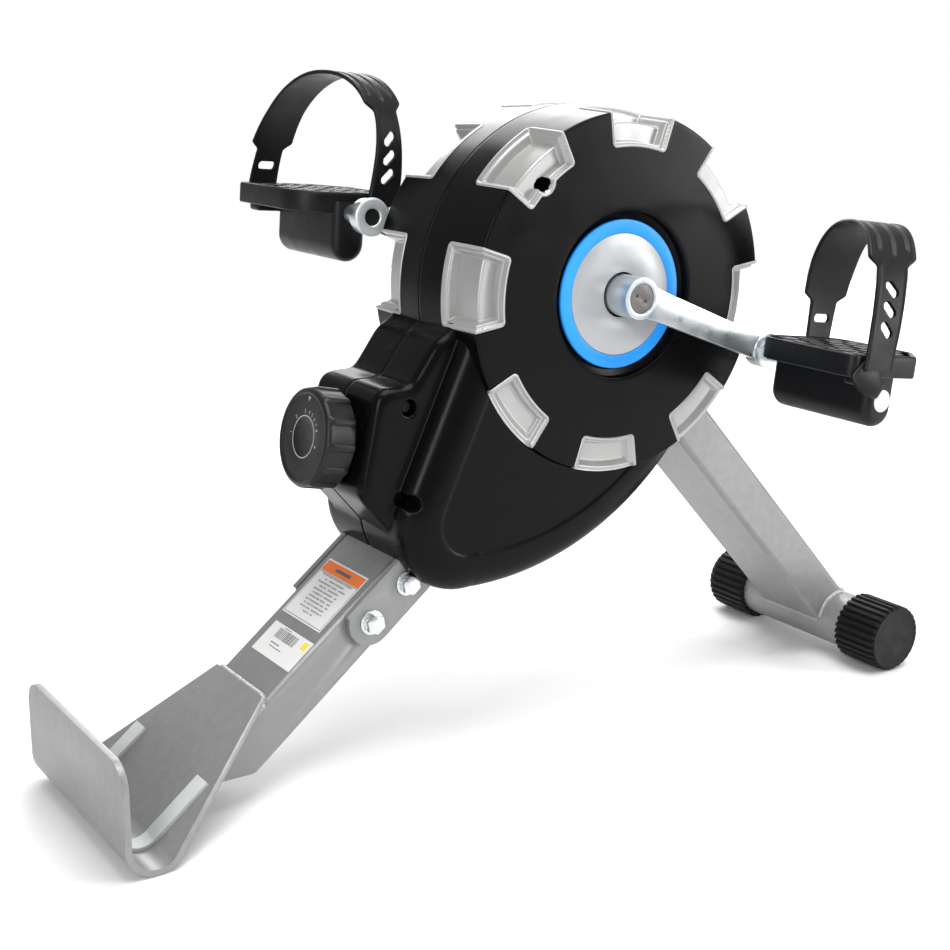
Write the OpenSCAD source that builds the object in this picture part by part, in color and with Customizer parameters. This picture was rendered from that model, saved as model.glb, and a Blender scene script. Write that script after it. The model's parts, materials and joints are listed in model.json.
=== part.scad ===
// Pedal exerciser: a free-standing crank unit with a belt-driven magnetic flywheel,
// a hooked front leg, a rear stabiliser and two self-levelling pedals with straps.
// +X is the rider's forward direction, +Y the rider's left, +Z up, the floor is z = 0.

/* [Stance] */
// Height of the crank axis above the floor
crank_z = 376.5; // [375:0.5:378]
// Slope of the front leg below the horizontal
front_slope = 39; // [38.5:0.5:39.5]
// Slope of the rear leg below the horizontal
rear_slope = 47; // [46.5:0.5:47.5]
// Width of the square-cornered leg tubes
tube_w = 80; // [79:0.5:80]
// Depth of the leg tubes
tube_h = 40; // [39:0.5:40]
// Wall of the leg tubes
tube_wall = 2; // [1.5:0.5:3]

/* [Drum] */
// Radius of the drum cover at its seam
drum_seam_r = 147.5; // [147:0.5:148]
// Radius of the drum cover at its faces
drum_face_r = 144; // [143.5:0.5:144.5]
// Distance from the seam to each drum face
drum_half = 74; // [74:0.5:75]
// Wall of the plastic covers
shell_wall = 3; // [2.5:0.5:3]
// Angle of the first inset panel
inset_phase = 39.5; // [38:0.5:41]
// Half of the angle that each inset panel spans
inset_half = 13.3; // [12:0.1:13.5]

/* [Cranks and pedals] */
// Length of each crank arm
crank_len = 149.5; // [148:0.5:151]
// Angle of the right crank arm above the horizontal at rest
crank_angle = -21.4; // [-25:0.1:-18]
// Tip of the right pedal towards the rider's front
right_tip = 7; // [0:0.5:9]
// Tip of the left pedal towards the rider's front
left_tip = 4; // [0:0.5:9]
// Half of the pedal platform's depth
pedal_half = 50; // [48:1:52]

/* [Drive] */
// Radius of the pulley on the crank axle
drive_r = 85; // [84:0.5:86]
// Radius of the pulley on the flywheel axle
small_r = 14; // [14:0.5:15]
// Radius of the flywheel
flywheel_r = 75; // [72:1:76]
// Radius of the resistance knob
knob_r = 40; // [38:0.5:40]

/* [Hidden] */
$fn = 96;

// Small step that keeps tangent faces apart
hair = 0.05;

// Leg lines: offsets of each tube's centre plane from the origin
front_off = 241;
rear_off = 252.4;
plate_t = 5;
tube_half = tube_w / 2;
front_end = -20;
// where the rear leg's way out of the covers starts, along the leg
rear_way = -190;

// Stabiliser
stab = [313, 31.5];
stab_r = 26;
cap_r = 31.5;
cap_in = 64.5;
cap_out = 113;

// Bolts that hold the front leg between the side plates: places along the leg
bolt_at = [-86.4, -44.5];
bolt_r = 5;

// Hook at the front leg's foot
hook_t = 5;
hook_r = 24;
hook_off = front_off + tube_h / 2;
hook_x = -(hook_off + hook_r - cos(front_slope) * hook_r) / sin(front_slope);
hook_top_at = -186;
// Moves the crank axis so that x = 0 is midway between the hook's lip and the end caps
shift_x = -(stab[0] + cap_r + hook_x - hook_r) / 2;
hook_half = 97;
hook_lip_z = 88;
strip_t = 3;
strip_y = 58;
strip_w = 16;

// Drum recesses
ring_recess_r = 67;
ring_recess_y = 66.5;
ring_r = [49.3, 60];
disc_r = 49;
disc_hole_r = 18.3;
pocket_r = 131.5;
pocket_in_r = 116;
pocket_y = 61.5;
tray_t = 2.5;
border = 3.5;

// Lower cover: half width of its core, and the side bulge over the flywheel
core_half = 49;
bulge_half = 69.5;
bulge_corner = [-141.7, 209];
bulge_corner_r = 60;
bulge_belly = [-127, 409];
bulge_belly_r = 260;
bulge_lean = 24.9;

// Crank set
hub_r = 16.8;
hub_in = 58;
hub_out = 96.7;
arm_in = 85.3;
arm_out = 98.3;
eye_r = 14.8;
axle_r = 8.5;
axle_half = 90;
shell_r = 21;
pedal_thread_r = 7.14;

// Belt drive, on the right of the frame
belt_y = [-56.5, -49.5];
belt_t = 1.8;
belt_gap = 0.3;
wheel_at = [-100, 240];
idler_r = 16;

// Magnet bracket
bracket_pivot = [-150, 312];
magnet_r = 77.5;
magnet_t = 4;
bracket_arc = [120, 174];

// Knob axis: point on its front face, and its upward tilt
knob_at = [-253, 277];
knob_tilt = 12;
knob_depth = 25;

// Sheath of the tension cable: centre of its bend, bend radius and own radius
cable_at = [-183, 8, 281.5];
cable_bend = 24;
cable_r = 2.5;

// Cover screws: [x, z, cover face distance from the seam]
screws = [
    [76.3, 434, 74], [53.8, 256.4, 74], [-80.8, 467.9, 64], [-186, 300.5, 49],
    [-192.7, 228.8, 49]
];

// Pedals
pedal_in = 125;
pedal_out = 237;
block_in = 120.5;
block_out = 226.7;
block_half = 15.2;
block_drop = 41;
platform_h = 17.5;
platform_r = 30;
strap_h = 111;
strap_t = 3;
strap_shift = 28;
strap_steps = 40;
strap_mid = (pedal_in + pedal_out) / 2;
strap_reach = (pedal_out - pedal_in) / 2 + strap_t / 2 + 0.6;
strap_power = 0.84;

// ---------- helpers ----------

module placed() {
    translate([shift_x, 0, 0]) children();
}

// Cylinder along Y
module y_cyl(r, y0, y1) {
    translate([0, y0, 0]) rotate([-90, 0, 0]) cylinder(r = r, h = y1 - y0);
}

// Outline in the XZ plane, made solid from y0 to y1
module xz_slab(y0, y1) {
    translate([0, y1, 0]) rotate([90, 0, 0]) linear_extrude(y1 - y0) children();
}

// Children made on the left (+Y), mirrored for the right when side is -1
module on_side(side) {
    if (side < 0) mirror([0, 1, 0]) children();
    else children();
}

// Frame of the front leg: x runs up the leg, z out of its top face
module front_frame() {
    rotate([0, -front_slope, 0]) children();
}

// Frame of the rear leg: x runs down the leg, z out of its top face
module rear_frame() {
    rotate([0, rear_slope, 0]) children();
}

// Frame of the knob: z runs out of the knob's face
module knob_frame() {
    translate([knob_at[0], 0, knob_at[1]]) rotate([0, -90 + knob_tilt, 0]) children();
}

module at_crank() {
    translate([0, 0, crank_z]) children();
}

module rounded_rect(w, h, r) {
    square([w - 2 * r, h], center = true);
    square([w, h - 2 * r], center = true);
    for (sx = [-1, 1], sy = [-1, 1])
        translate([sx * (w / 2 - r), sy * (h / 2 - r)]) circle(r);
}

// Hollow leg tube from x0 to x1 in a leg frame, centred at the given offset
module leg_tube(x0, x1, off) {
    translate([x0, 0, off]) rotate([0, 90, 0]) linear_extrude(x1 - x0) difference() {
        rounded_rect(tube_h, tube_w, 5);
        rounded_rect(tube_h - 2 * tube_wall, tube_w - 2 * tube_wall, 3);
    }
}

// Ring sector round the crank axis, on the +Y side
module sector(r0, r1, y0, y1, a0, a1) {
    at_crank() rotate([90, 0, 0]) rotate([0, 0, a0])
        rotate_extrude(angle = a1 - a0) translate([r0, -y1]) square([r1 - r0, y1 - y0]);
}

// Turned shape round the crank axis: profile points are [radius, y]
module crank_turned(points) {
    at_crank() rotate([-90, 0, 0]) rotate_extrude() polygon(points);
}

// Slab round two circles and their outer tangents, the straight runs a hair inside
module belt_slab(y0, y1, c0, r0, c1, r1) {
    d = norm(c1 - c0);
    a = atan2(c1[1] - c0[1], c1[0] - c0[0]);
    b = acos((r0 - r1) / d);
    q0 = r0 - hair;
    q1 = r1 - hair;
    translate([c0[0], 0, c0[1]]) y_cyl(r0, y0, y1);
    translate([c1[0], 0, c1[1]]) y_cyl(r1, y0, y1);
    xz_slab(y0, y1) polygon([
        c0 + q0 * [cos(a + b), sin(a + b)], c1 + q1 * [cos(a + b), sin(a + b)],
        c1 + q1 * [cos(a - b), sin(a - b)], c0 + q0 * [cos(a - b), sin(a - b)]
    ]);
}

// ---------- frame ----------

module rear_leg() {
    crank_along = -crank_z * sin(rear_slope);
    color("silver") difference() {
        rear_frame() leg_tube(crank_along - 30, 196, rear_off);
        translate([stab[0], 0, stab[1]]) y_cyl(stab_r, -60, 60);
        at_crank() y_cyl(shell_r, -60, 60);
    }
}

// Side plate: holds the front leg, the flywheel axle and the magnet bracket
module side_plate(side) {
    foot = -86.4;
    back = 222;
    low = front_off - tube_h / 2 + 1;
    high = hook_off;
    ear = [[48, high - 5], [56, 344], [104, 344], [118, high - 5]];
    color("silver") difference() {
        on_side(side) union() {
            front_frame() {
                translate([foot, tube_half, low]) cube([back - foot, plate_t, high - low]);
                translate([foot, 0, (low + high) / 2])
                    y_cyl((high - low) / 2 - hair, tube_half, tube_half + plate_t);
                translate([foot - 12, tube_half, high - 12]) cube([13, plate_t, 12 - hair]);
                xz_slab(tube_half, tube_half + plate_t) polygon(ear);
            }
        }
        front_frame() for (a = bolt_at) translate([a, 0, front_off]) y_cyl(bolt_r + 0.3, -60, 60);
        translate([wheel_at[0], 0, wheel_at[1]]) y_cyl(13, -60, 60);
        translate([bracket_pivot[0], 0, bracket_pivot[1]]) y_cyl(4.05, -60, 60);
    }
}

module crank_housing() {
    color("silver") at_crank() difference() {
        y_cyl(shell_r, -41, 41);
        y_cyl(17.5, -42, 42);
    }
}

module stabiliser_tube() {
    color("silver") translate([stab[0], 0, stab[1]]) difference() {
        y_cyl(stab_r, -105, 105);
        y_cyl(stab_r - 1.5, -106, 106);
    }
}

module end_cap(side) {
    flutes = 30;
    color("#1c1c1e") on_side(side) translate([stab[0], 0, stab[1]]) difference() {
        union() {
            y_cyl(cap_r, cap_in, cap_out - 3);
            y_cyl(cap_r - 3, cap_out - 4, cap_out);
        }
        y_cyl(stab_r, cap_in - 1, 105.5);
        for (k = [0.5 : flutes]) rotate([0, k * 360 / flutes, 0])
            translate([cap_r + 0.6, 0, 0]) y_cyl(1.6, cap_in + 5, cap_out - 6, $fn = 16);
    }
}

module front_leg() {
    foot_z = 28.5;
    color("silver") difference() {
        intersection() {
            union() {
                front_frame() leg_tube(-300, front_end, front_off);
                // plate that closes the tube's foot
                intersection() {
                    front_frame() translate([-300, 2 - tube_half, front_off - tube_h / 2 + 1])
                        cube([200, tube_w - 4, tube_h - 2]);
                    translate([-500, -50, foot_z]) cube([600, 100, tube_wall]);
                }
            }
            translate([-500, -50, foot_z]) cube([600, 100, 400]);
        }
        front_frame() for (a = bolt_at) translate([a, 0, front_off]) y_cyl(bolt_r + 0.3, -60, 60);
    }
}

// Bent strip in the XZ plane: thickness t, outer radius r, measured from the hook's own surfaces
module hook_profile(inset, t, slope_top, lip_top) {
    r_out = hook_r - inset;
    along = hook_x * cos(front_slope) + hook_r * sin(front_slope);
    // the bend runs 2 degrees into both straight parts, a hair thinner than they are
    translate([hook_x, hook_r]) intersection() {
        difference() {
            circle(r_out - hair);
            circle(r_out - t + hair);
        }
        polygon([
            [0, 0], 60 * [cos(178), sin(178)], [-60, -60], [0, -90],
            60 * [sin(front_slope + 2), -cos(front_slope + 2)]
        ]);
    }
    translate([hook_x - r_out, hook_r]) square([t, lip_top - hook_r]);
    rotate(front_slope) translate([along, hook_off + inset]) square([slope_top - along, t]);
}

module hook_plate() {
    along = hook_x * cos(front_slope) + hook_r * sin(front_slope);
    lip_r = 20;
    color("silver") intersection() {
        xz_slab(-hook_half, hook_half) hook_profile(0, hook_t, hook_top_at, hook_lip_z);
        // plan of the sloping part: it narrows to the tube's width, and the lip stays wide
        union() {
            front_frame() translate([0, 0, hook_off - 30]) linear_extrude(160) polygon([
                [along - 200, -hook_half], [along, -hook_half], [hook_top_at, -tube_half],
                [hook_top_at, tube_half], [along, hook_half], [along - 200, hook_half]
            ]);
            translate([hook_x - 40, -hook_half - 5, hook_r + 6]) cube([30, 2 * hook_half + 10, 100]);
        }
        // the lip's top corners are rounded
        union() {
            translate([hook_x - 100, 0, 0]) rotate([90, 0, 90]) linear_extrude(100)
                translate([0, hook_lip_z / 2 - 20])
                    rounded_rect(2 * hook_half + 0.02, hook_lip_z + 40.02, lip_r);
            translate([hook_x, -150, -20]) cube([400, 300, 400]);
        }
    }
}

module hook_strips() {
    color("#8d9092") for (s = [-1, 1])
        xz_slab(s * strip_y - strip_w / 2, s * strip_y + strip_w / 2) difference() {
            hook_profile(hook_t, strip_t, hook_top_at - 74, hook_r + 4);
            // the strips stop in the bend, clear of the lip's flat face
            translate([hook_x - 30, hook_r - 6]) square([25, 40]);
        }
}

module leg_bolts() {
    color("gainsboro") front_frame() for (a = bolt_at) translate([a, 0, front_off]) {
        y_cyl(bolt_r, -48, 58);
        y_cyl(8.2, -53.5, -46.5, $fn = 6);
    }
}

module leg_washers() {
    color("gainsboro") front_frame() for (a = bolt_at, s = [-1, 1])
        translate([a, 0, front_off]) on_side(s) difference() {
            y_cyl(10, tube_half + plate_t, tube_half + plate_t + 1.5);
            y_cyl(bolt_r + 0.2, 40, 60);
        }
}

module leg_nuts() {
    color("gainsboro") front_frame() for (a = bolt_at) translate([a, 0, front_off]) difference() {
        y_cyl(8.2, 46.5, 54.5, $fn = 6);
        y_cyl(bolt_r, 40, 60);
    }
}

module leg_labels() {
    color("white") front_frame() {
        translate([-120, -31, hook_off]) cube([57.4, 62, 0.3]);
        translate([-158.6, -36, hook_off]) cube([29, 63, 0.3]);
    }
}

// ---------- covers ----------

// Inset panels are numbered round the drum. Two of them lie over the side bulge.
function inset_angle(k) = inset_phase + 45 * k;
function inset_covered(k) = k == 4 || k == 5;

module drum_solid(grow = 0) {
    crank_turned([
        [0, 0], [drum_seam_r + grow, 0], [drum_face_r + grow, drum_half - 1.5],
        [drum_face_r - 1.5 + grow, drum_half + grow], [0, drum_half + grow]
    ]);
}

// Side outline of the core of the lower cover, pulled in by d
module core_outline(d) {
    polygon([
        [-100, 400], [-150 + d, 354], [-160 + d, 349 - d * 0.3], [-183 + d, 317 - d],
        [-207 + d * 0.5, 317 - d], [-214.5 + d, 311 - d * 0.6], [-230 + d, 236 + d * 0.3],
        [-197 + d * 0.8, 197.5 + d * 0.6], [-191 + d, 181 + d * 0.5], [-168 + d * 0.5, 165 + d],
        [-127, 153 + d], [-57, 162 + d], [-16, 177 + d], [58, 228 + d], [88 - d, 300]
    ]);
}

// Layer of the bulge over the flywheel from y0 to y1, its outline pulled in by d
module bulge_slab(y0, y1, d) {
    n = [-cos(bulge_lean), sin(bulge_lean)];
    touch = bulge_corner + (bulge_corner_r - d - hair) * n;
    along = [sin(bulge_lean), cos(bulge_lean)];
    intersection() {
        translate([bulge_belly[0], 0, bulge_belly[1]]) y_cyl(bulge_belly_r - d, y0, y1);
        xz_slab(y0 - 1, y1 + 1) polygon([
            touch, touch + 124 * along, [-60, 400], [90, 330], [90, 140], [-130, 140], bulge_corner
        ]);
    }
    translate([bulge_corner[0], 0, bulge_corner[1]]) y_cyl(bulge_corner_r - d, y0, y1);
}

module inset_pocket(k) {
    a = inset_angle(k);
    if (inset_covered(k)) {
        sector(pocket_in_r, drum_face_r + 1, 64, 90, a - inset_half, a + inset_half);
    } else {
        sector(pocket_r, 155, 30, 90, a - inset_half, a + inset_half);
        sector(pocket_in_r, 155, pocket_y, 90, a - inset_half, a + inset_half);
    }
}

module inset_dish(k) {
    a = inset_angle(k);
    e = inset_half - 1.6;
    if (inset_covered(k)) {
        sector(pocket_in_r + border, 155, 66.5, 90, a - e, a + e);
    } else {
        sector(pocket_r + tray_t, 155, 30 + border, 90, a - e, a + e);
        sector(pocket_in_r + border, 155, pocket_y + tray_t, 90, a - e, a + e);
    }
}

module rear_leg_way() {
    rear_frame() translate([rear_way, -tube_half - 0.5, rear_off - tube_h / 2 - 0.5])
        cube([140, tube_w + 1, tube_h + 1]);
}

module inset_panels(side) {
    color("#c4c7c8") on_side(side) difference() {
        for (k = [0 : 7]) intersection() {
            drum_solid(0.8);
            inset_pocket(k);
        }
        for (k = [0 : 7]) inset_dish(k);
        translate([screws[2][0], 0, screws[2][1]]) y_cyl(6.2, 40, 90);
        rear_leg_way();
    }
}

module cover_solid() {
    drum_solid();
    xz_slab(0, core_half) core_outline(0);
    bulge_slab(core_half - 1, 58, 0);
    bulge_slab(57, 63, 2.5);
    bulge_slab(62, 67, 6);
    bulge_slab(66, bulge_half, 11);
}

// Inside outline of the core, clear of the drum's inset pockets
module core_inside() {
    polygon([
        [-60, 345], [-158, 345], [-180, 314], [-205.5, 314], [-211.5, 309], [-227, 237],
        [-194.6, 199.3], [-188, 182.5], [-166.5, 168], [-127, 156], [-57, 165], [-16, 180],
        [58, 231], [85, 300]
    ]);
}

module cover_hollow() {
    crank_turned([
        [0, -1], [drum_seam_r - shell_wall, -1], [drum_seam_r - shell_wall, 25], [128.5, 27],
        [128.5, 58.5], [112.5, 60], [112.5, drum_half - shell_wall],
        [71, drum_half - shell_wall], [71, ring_recess_y - shell_wall],
        [0, ring_recess_y - shell_wall]
    ]);
    // lighter rim between the inset panels
    for (k = [0, 1, 2, 5, 6, 7]) sector(110, 140, 24, drum_half - shell_wall - 0.5,
        inset_angle(k) + inset_half + 2, inset_angle(k) + 45 - inset_half - 2);
    xz_slab(-1.5, core_half - shell_wall) core_inside();
    bulge_slab(core_half - shell_wall - 1, 57.5, shell_wall);
    difference() {
        bulge_slab(57, 63, 8);
        at_crank() y_cyl(drum_seam_r, 50, 70);
    }
}

module cover(side) {
    color("#161617") difference() {
        on_side(side) difference() {
            union() {
                difference() {
                    cover_solid();
                    cover_hollow();
                }
                intersection() {
                    for (s = screws) translate([s[0], 0, s[1]]) y_cyl(side < 0 ? 7.5 : 5, 0, s[2] - 1);
                    cover_solid();
                }
            }
            for (k = [0 : 7]) inset_pocket(k);
            at_crank() y_cyl(ring_recess_r, ring_recess_y, 90);
            at_crank() y_cyl(20, 50, 90);
            if (side < 0) {
                for (s = screws) translate([s[0], 0, s[1]]) {
                    y_cyl(2.05, -1, 90);
                    y_cyl(5.5, s[2] - 9, 90);
                }
            } else {
                for (s = screws) translate([s[0], 0, s[1]]) y_cyl(2.05, -1, 20);
            }
        }
        // ways out for the legs, the side plates, the upper bolt and the knob's spindle
        rear_leg_way();
        front_frame() translate([-140, -tube_half - plate_t - 0.5, front_off - tube_h / 2 - 0.5])
            cube([180, tube_w + 2 * plate_t + 1, tube_h + 1]);
        front_frame() translate([bolt_at[1], 0, front_off]) y_cyl(10.8, -60, 60);
        knob_frame() translate([0, 0, -60]) cylinder(r = 8, h = 60);
    }
}

module trim_ring(side) {
    color("#2f9df2") on_side(side) crank_turned([
        [ring_r[0], ring_recess_y], [ring_r[1], ring_recess_y], [ring_r[1], 69],
        [ring_r[1] - 0.8, 69.6], [ring_r[0], 69.6]
    ]);
}

module hub_disc(side) {
    color("#b9bcbe") on_side(side) crank_turned([
        [disc_hole_r, ring_recess_y], [disc_r, ring_recess_y], [disc_r, 69.6], [36, 70.8],
        [disc_hole_r, 71.4]
    ]);
}

module cover_screws() {
    color("#3a3b3d") for (s = screws) translate([s[0], 0, s[1]]) {
        y_cyl(2, -(s[2] - 8), 18);
        y_cyl(4, -(s[2] - 6), -(s[2] - 9));
    }
}

// ---------- crank set ----------

module crank_bearing(side) {
    color("#55585a") on_side(side) at_crank() difference() {
        y_cyl(17.5, 29, 41);
        y_cyl(axle_r + 0.05, 20, 50);
    }
}

module crank_axle() {
    color("#9fa3a6") at_crank() y_cyl(axle_r, -axle_half, axle_half);
}

module crank_place(side) {
    at_crank() rotate([0, -crank_angle + (side < 0 ? 0 : 180), 0]) children();
}

module crank_arm(side) {
    color("#cfd3d6") crank_place(side) on_side(side) difference() {
        union() {
            y_cyl(hub_r, hub_in, hub_out);
            translate([crank_len, 0, 0]) y_cyl(eye_r, arm_in, arm_out);
            xz_slab(arm_in + 1, arm_out - 2)
                polygon([[0, -13.5], [30, -12], [crank_len, -10], [crank_len, 10], [30, 12], [0, 13.5]]);
        }
        y_cyl(axle_r, hub_in - 1, axle_half);
        y_cyl(12.2, axle_half, hub_out + 1);
        translate([crank_len, 0, 0]) y_cyl(pedal_thread_r, 80, 110);
    }
}

module crank_bolts() {
    color("#b4b8ba") at_crank() for (s = [-1, 1]) on_side(s) y_cyl(7.5, axle_half, axle_half + 3, $fn = 6);
}

module dust_cap(side) {
    color("#4d5052") on_side(side) at_crank() difference() {
        y_cyl(12, axle_half + 3.2, hub_out - 0.8);
        for (s = [-1, 1]) rotate([0, 30, 0]) translate([s * 5, 0, 0]) y_cyl(1.3, hub_out - 2.5, hub_out);
    }
}

module pedal_spindle(side) {
    color("#b4b8ba") crank_place(side) on_side(side) translate([crank_len, 0, 0]) {
        y_cyl(pedal_thread_r, arm_in + 2, arm_out + 0.5);
        y_cyl(9, arm_out, arm_out + 7, $fn = 6);
        y_cyl(8, arm_out + 6, block_in - 0.8);
        y_cyl(6, block_in - 2, block_out - 8);
    }
}

// ---------- belt drive and brake ----------

module drive_pulley() {
    color("#2a2b2d") at_crank() difference() {
        union() {
            y_cyl(drive_r, belt_y[0], belt_y[1]);
            y_cyl(16, belt_y[0] - 1, -42.5);
        }
        y_cyl(axle_r, -70, -30);
        for (k = [0 : 5]) rotate([0, k * 60, 0]) translate([50, 0, 0]) y_cyl(15, -70, -30);
    }
}

module drive_belt() {
    c0 = [0, crank_z];
    y = [belt_y[0] + 0.5, belt_y[1] - 0.5];
    color("#111111") difference() {
        belt_slab(y[0], y[1], c0, drive_r + belt_gap + belt_t, wheel_at, small_r + belt_gap + belt_t);
        belt_slab(y[0] - 1, y[1] + 1, c0, drive_r + belt_gap, wheel_at, small_r + belt_gap);
    }
}

module at_wheel() {
    translate([wheel_at[0], 0, wheel_at[1]]) children();
}

module flywheel() {
    color("#6e7275") at_wheel() difference() {
        union() {
            difference() {
                y_cyl(flywheel_r, -12, 12);
                y_cyl(flywheel_r - 14, 3, 13);
                y_cyl(flywheel_r - 14, -13, -3);
            }
            y_cyl(15, -16, 16);
        }
        y_cyl(6, -20, 20);
        for (k = [0 : 4]) rotate([0, k * 72, 0]) translate([38, 0, 0]) y_cyl(9, -20, 20);
    }
}

module flywheel_axle() {
    color("#9fa3a6") at_wheel() y_cyl(6, -60.5, 50);
}

module flywheel_pulley() {
    color("#2a2b2d") at_wheel() difference() {
        y_cyl(small_r, belt_y[0], belt_y[1] + 1);
        y_cyl(6, -70, -30);
    }
}

module flywheel_bearings() {
    color("#55585a") at_wheel() for (s = [-1, 1]) on_side(s) difference() {
        y_cyl(13, 36, 45);
        y_cyl(6.05, 30, 50);
    }
}

// Idler: rides on the outside of the lower run of the belt
function idler_at() =
    let (d = [wheel_at[0], wheel_at[1] - crank_z],
         a = atan2(d[1], d[0]) + acos((drive_r - small_r) / norm(d)),
         n = [cos(a), sin(a)],
         run = sqrt(norm(d) * norm(d) - pow(drive_r - small_r, 2)))
    [0, crank_z] + n * (drive_r + 2 * belt_gap + belt_t + idler_r) + [n[1], -n[0]] * run / 2;

module at_idler() {
    translate([idler_at()[0], 0, idler_at()[1]]) children();
}

module idler_pulley() {
    color("#3c3e40") at_idler() difference() {
        y_cyl(idler_r, belt_y[0], belt_y[1]);
        y_cyl(4.05, -70, -30);
    }
}

module idler_arm() {
    p = idler_at();
    root = [p[0] + 12, p[1] + 42];
    color("silver") difference() {
        belt_slab(-48.5, -45, root, 11, p, 9);
        translate([root[0], 0, root[1]]) y_cyl(8.55, -60, -30);
        at_idler() y_cyl(4, -60, -30);
    }
}

module idler_bolt() {
    p = idler_at();
    color("gainsboro") {
        at_idler() y_cyl(4, -57, -45.2);
        translate([p[0] + 12, 0, p[1] + 42]) y_cyl(8.5, -48.9, -45);
    }
}

// Curved bracket that carries the brake magnets along the flywheel's rim
module magnet_bracket() {
    r = magnet_r + magnet_t;
    color("#8b8f91") difference() {
        union() {
            at_wheel() rotate([90, 0, 0]) rotate([0, 0, bracket_arc[0]])
                rotate_extrude(angle = bracket_arc[1] - bracket_arc[0])
                    translate([r, -14]) square([3, 28]);
            translate([bracket_pivot[0], 0, bracket_pivot[1]]) y_cyl(9, -38, 38);
        }
        translate([bracket_pivot[0], 0, bracket_pivot[1]]) y_cyl(4.06, -60, 60);
    }
}

module brake_magnets() {
    r = magnet_r;
    color("#3f4244") at_wheel() for (k = [0 : 4])
        rotate([90, 0, 0]) rotate([0, 0, bracket_arc[0] + 12 + k * 8.6])
            rotate_extrude(angle = 6.5) translate([r, -11]) square([magnet_t, 22]);
}

module bracket_pin() {
    color("#9fa3a6") translate([bracket_pivot[0], 0, bracket_pivot[1]]) y_cyl(4, -47, 47);
}

module bracket_spring() {
    color("#9fa3a6") translate([bracket_pivot[0], 0, bracket_pivot[1]])
        for (k = [0 : 3]) translate([0, 17 + k * 3, 0]) rotate([-90, 0, 0])
            rotate_extrude($fn = 48) translate([11, 0]) circle(1.2, $fn = 16);
}

// ---------- resistance knob ----------

module tension_knob() {
    ribs = 12;
    color("#202022") knob_frame() difference() {
        union() {
            translate([0, 0, -knob_depth]) cylinder(r = knob_r, h = knob_depth - 5);
            translate([0, 0, -5]) cylinder(r1 = knob_r, r2 = knob_r - 4, h = 5);
        }
        for (k = [0 : ribs - 1]) rotate([0, 0, k * 360 / ribs]) translate([knob_r + 1.2, 0, -knob_depth - 1])
            cylinder(r = 2.4, h = knob_depth - 6);
        translate([0, 0, -knob_depth - 1]) cylinder(r = knob_r - 4, h = knob_depth - 5);
    }
}

module knob_spindle() {
    color("#b4b8ba") knob_frame() {
        translate([0, 0, -58]) cylinder(r = 4, h = 52);
        translate([0, 0, -48]) cylinder(r = 13, h = 6);
    }
}

module knob_collar() {
    color("#161617") knob_frame() difference() {
        union() {
            translate([0, 0, -30.5]) cylinder(r = 32, h = 5);
            translate([0, 0, -38]) cylinder(r = 7.8, h = 10);
        }
        translate([0, 0, -40]) cylinder(r = 4.06, h = 20);
    }
}

// Sheath of the cable that the knob pulls: one gentle bend in a level plane
module tension_cable() {
    color("#111111") translate([cable_at[0], cable_at[1], cable_at[2]]) rotate([0, 0, 110])
        rotate_extrude(angle = 70) translate([cable_bend, 0]) circle(cable_r, $fn = 24);
}

// ---------- pedals ----------

// Pedal frame: origin on the spindle's axis, level with the pedal's own tip
module pedal_place(side) {
    a = side < 0 ? crank_angle : crank_angle + 180;
    translate([crank_len * cos(a), 0, crank_z + crank_len * sin(a)])
        rotate([0, side < 0 ? right_tip : left_tip, 0]) on_side(side) children();
}

// Corners of the platform: [x, y, radius, first angle, last angle]. The inner ones are round,
// the rear outer one is square and the front outer one is cut off.
function platform_corners() = [
    [pedal_half - 24, pedal_in + 24, 24, -90, 0], [pedal_half - 8, pedal_out - 31, 8, 0, 45],
    [pedal_half - 31, pedal_out - 8, 8, 45, 90], [7 - pedal_half, pedal_out - 7, 7, 90, 180],
    [platform_r - pedal_half, pedal_in + platform_r, platform_r, 180, 270]
];

module platform_outline(d = 0) {
    polygon([
        for (c = platform_corners(), k = [0 : 6])
            let (a = c[3] + (c[4] - c[3]) * k / 6) [c[0], c[1]] + (c[2] - d) * [cos(a), sin(a)]
    ]);
}

module pedal_platform(side) {
    slots = [-40, -29, 22.5, 33.5];
    color("#19191a") pedal_place(side) difference() {
        linear_extrude(platform_h) platform_outline();
        // room for the block, which stops under the top plate
        translate([-block_half - 0.3, 100, -1]) cube([2 * block_half + 0.6, 160, 11]);
        // hollow underside
        translate([0, 0, -1]) linear_extrude(11) difference() {
            platform_outline(4);
            square([2 * block_half + 8, 600], center = true);
        }
        for (x = slots) translate([x, pedal_in + 26, -1]) cube([6.5, pedal_out - pedal_in - 52, 40]);
    }
}

module pedal_block(side) {
    color("#141415") pedal_place(side) difference() {
        xz_slab(block_in, block_out) union() {
            translate([-block_half, -block_drop + block_half])
                square([2 * block_half, 10 + block_drop - block_half]);
            translate([0, -block_drop + block_half]) circle(block_half);
        }
        y_cyl(6.07, block_in - 1, block_out - 6);
        translate([-9.5, block_in + 9, -36]) cube([19, block_out - block_in - 18, 22]);
    }
}

module pedal_weight(side) {
    color("#6e7275") pedal_place(side)
        translate([-9.4, block_in + 9.2, -35.9]) cube([18.8, block_out - block_in - 18.4, 21.8]);
}

// Strap centre line at parameter t from the inner leg (0) to the outer leg (180)
function strap_y(t) = strap_mid - 3 * sin(t) - 6 * max(0, sin(2 * t)) + 0.9 * max(0, -cos(t))
    - strap_reach * sign(cos(t)) * pow(abs(cos(t)), strap_power);
function strap_z(t) = 4 + strap_h * pow(abs(sin(t)), strap_power);
function strap_x(t) = 3 + strap_shift * cos(t) + 13 * sin(t);
// Half width: a wide pad over the top, a short narrow leg and a long one on the rider's right
function strap_w(t, side) = t < (side < 0 ? 20 : 40) || t > (side < 0 ? 140 : 160) ? 14 : 21.5;
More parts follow.
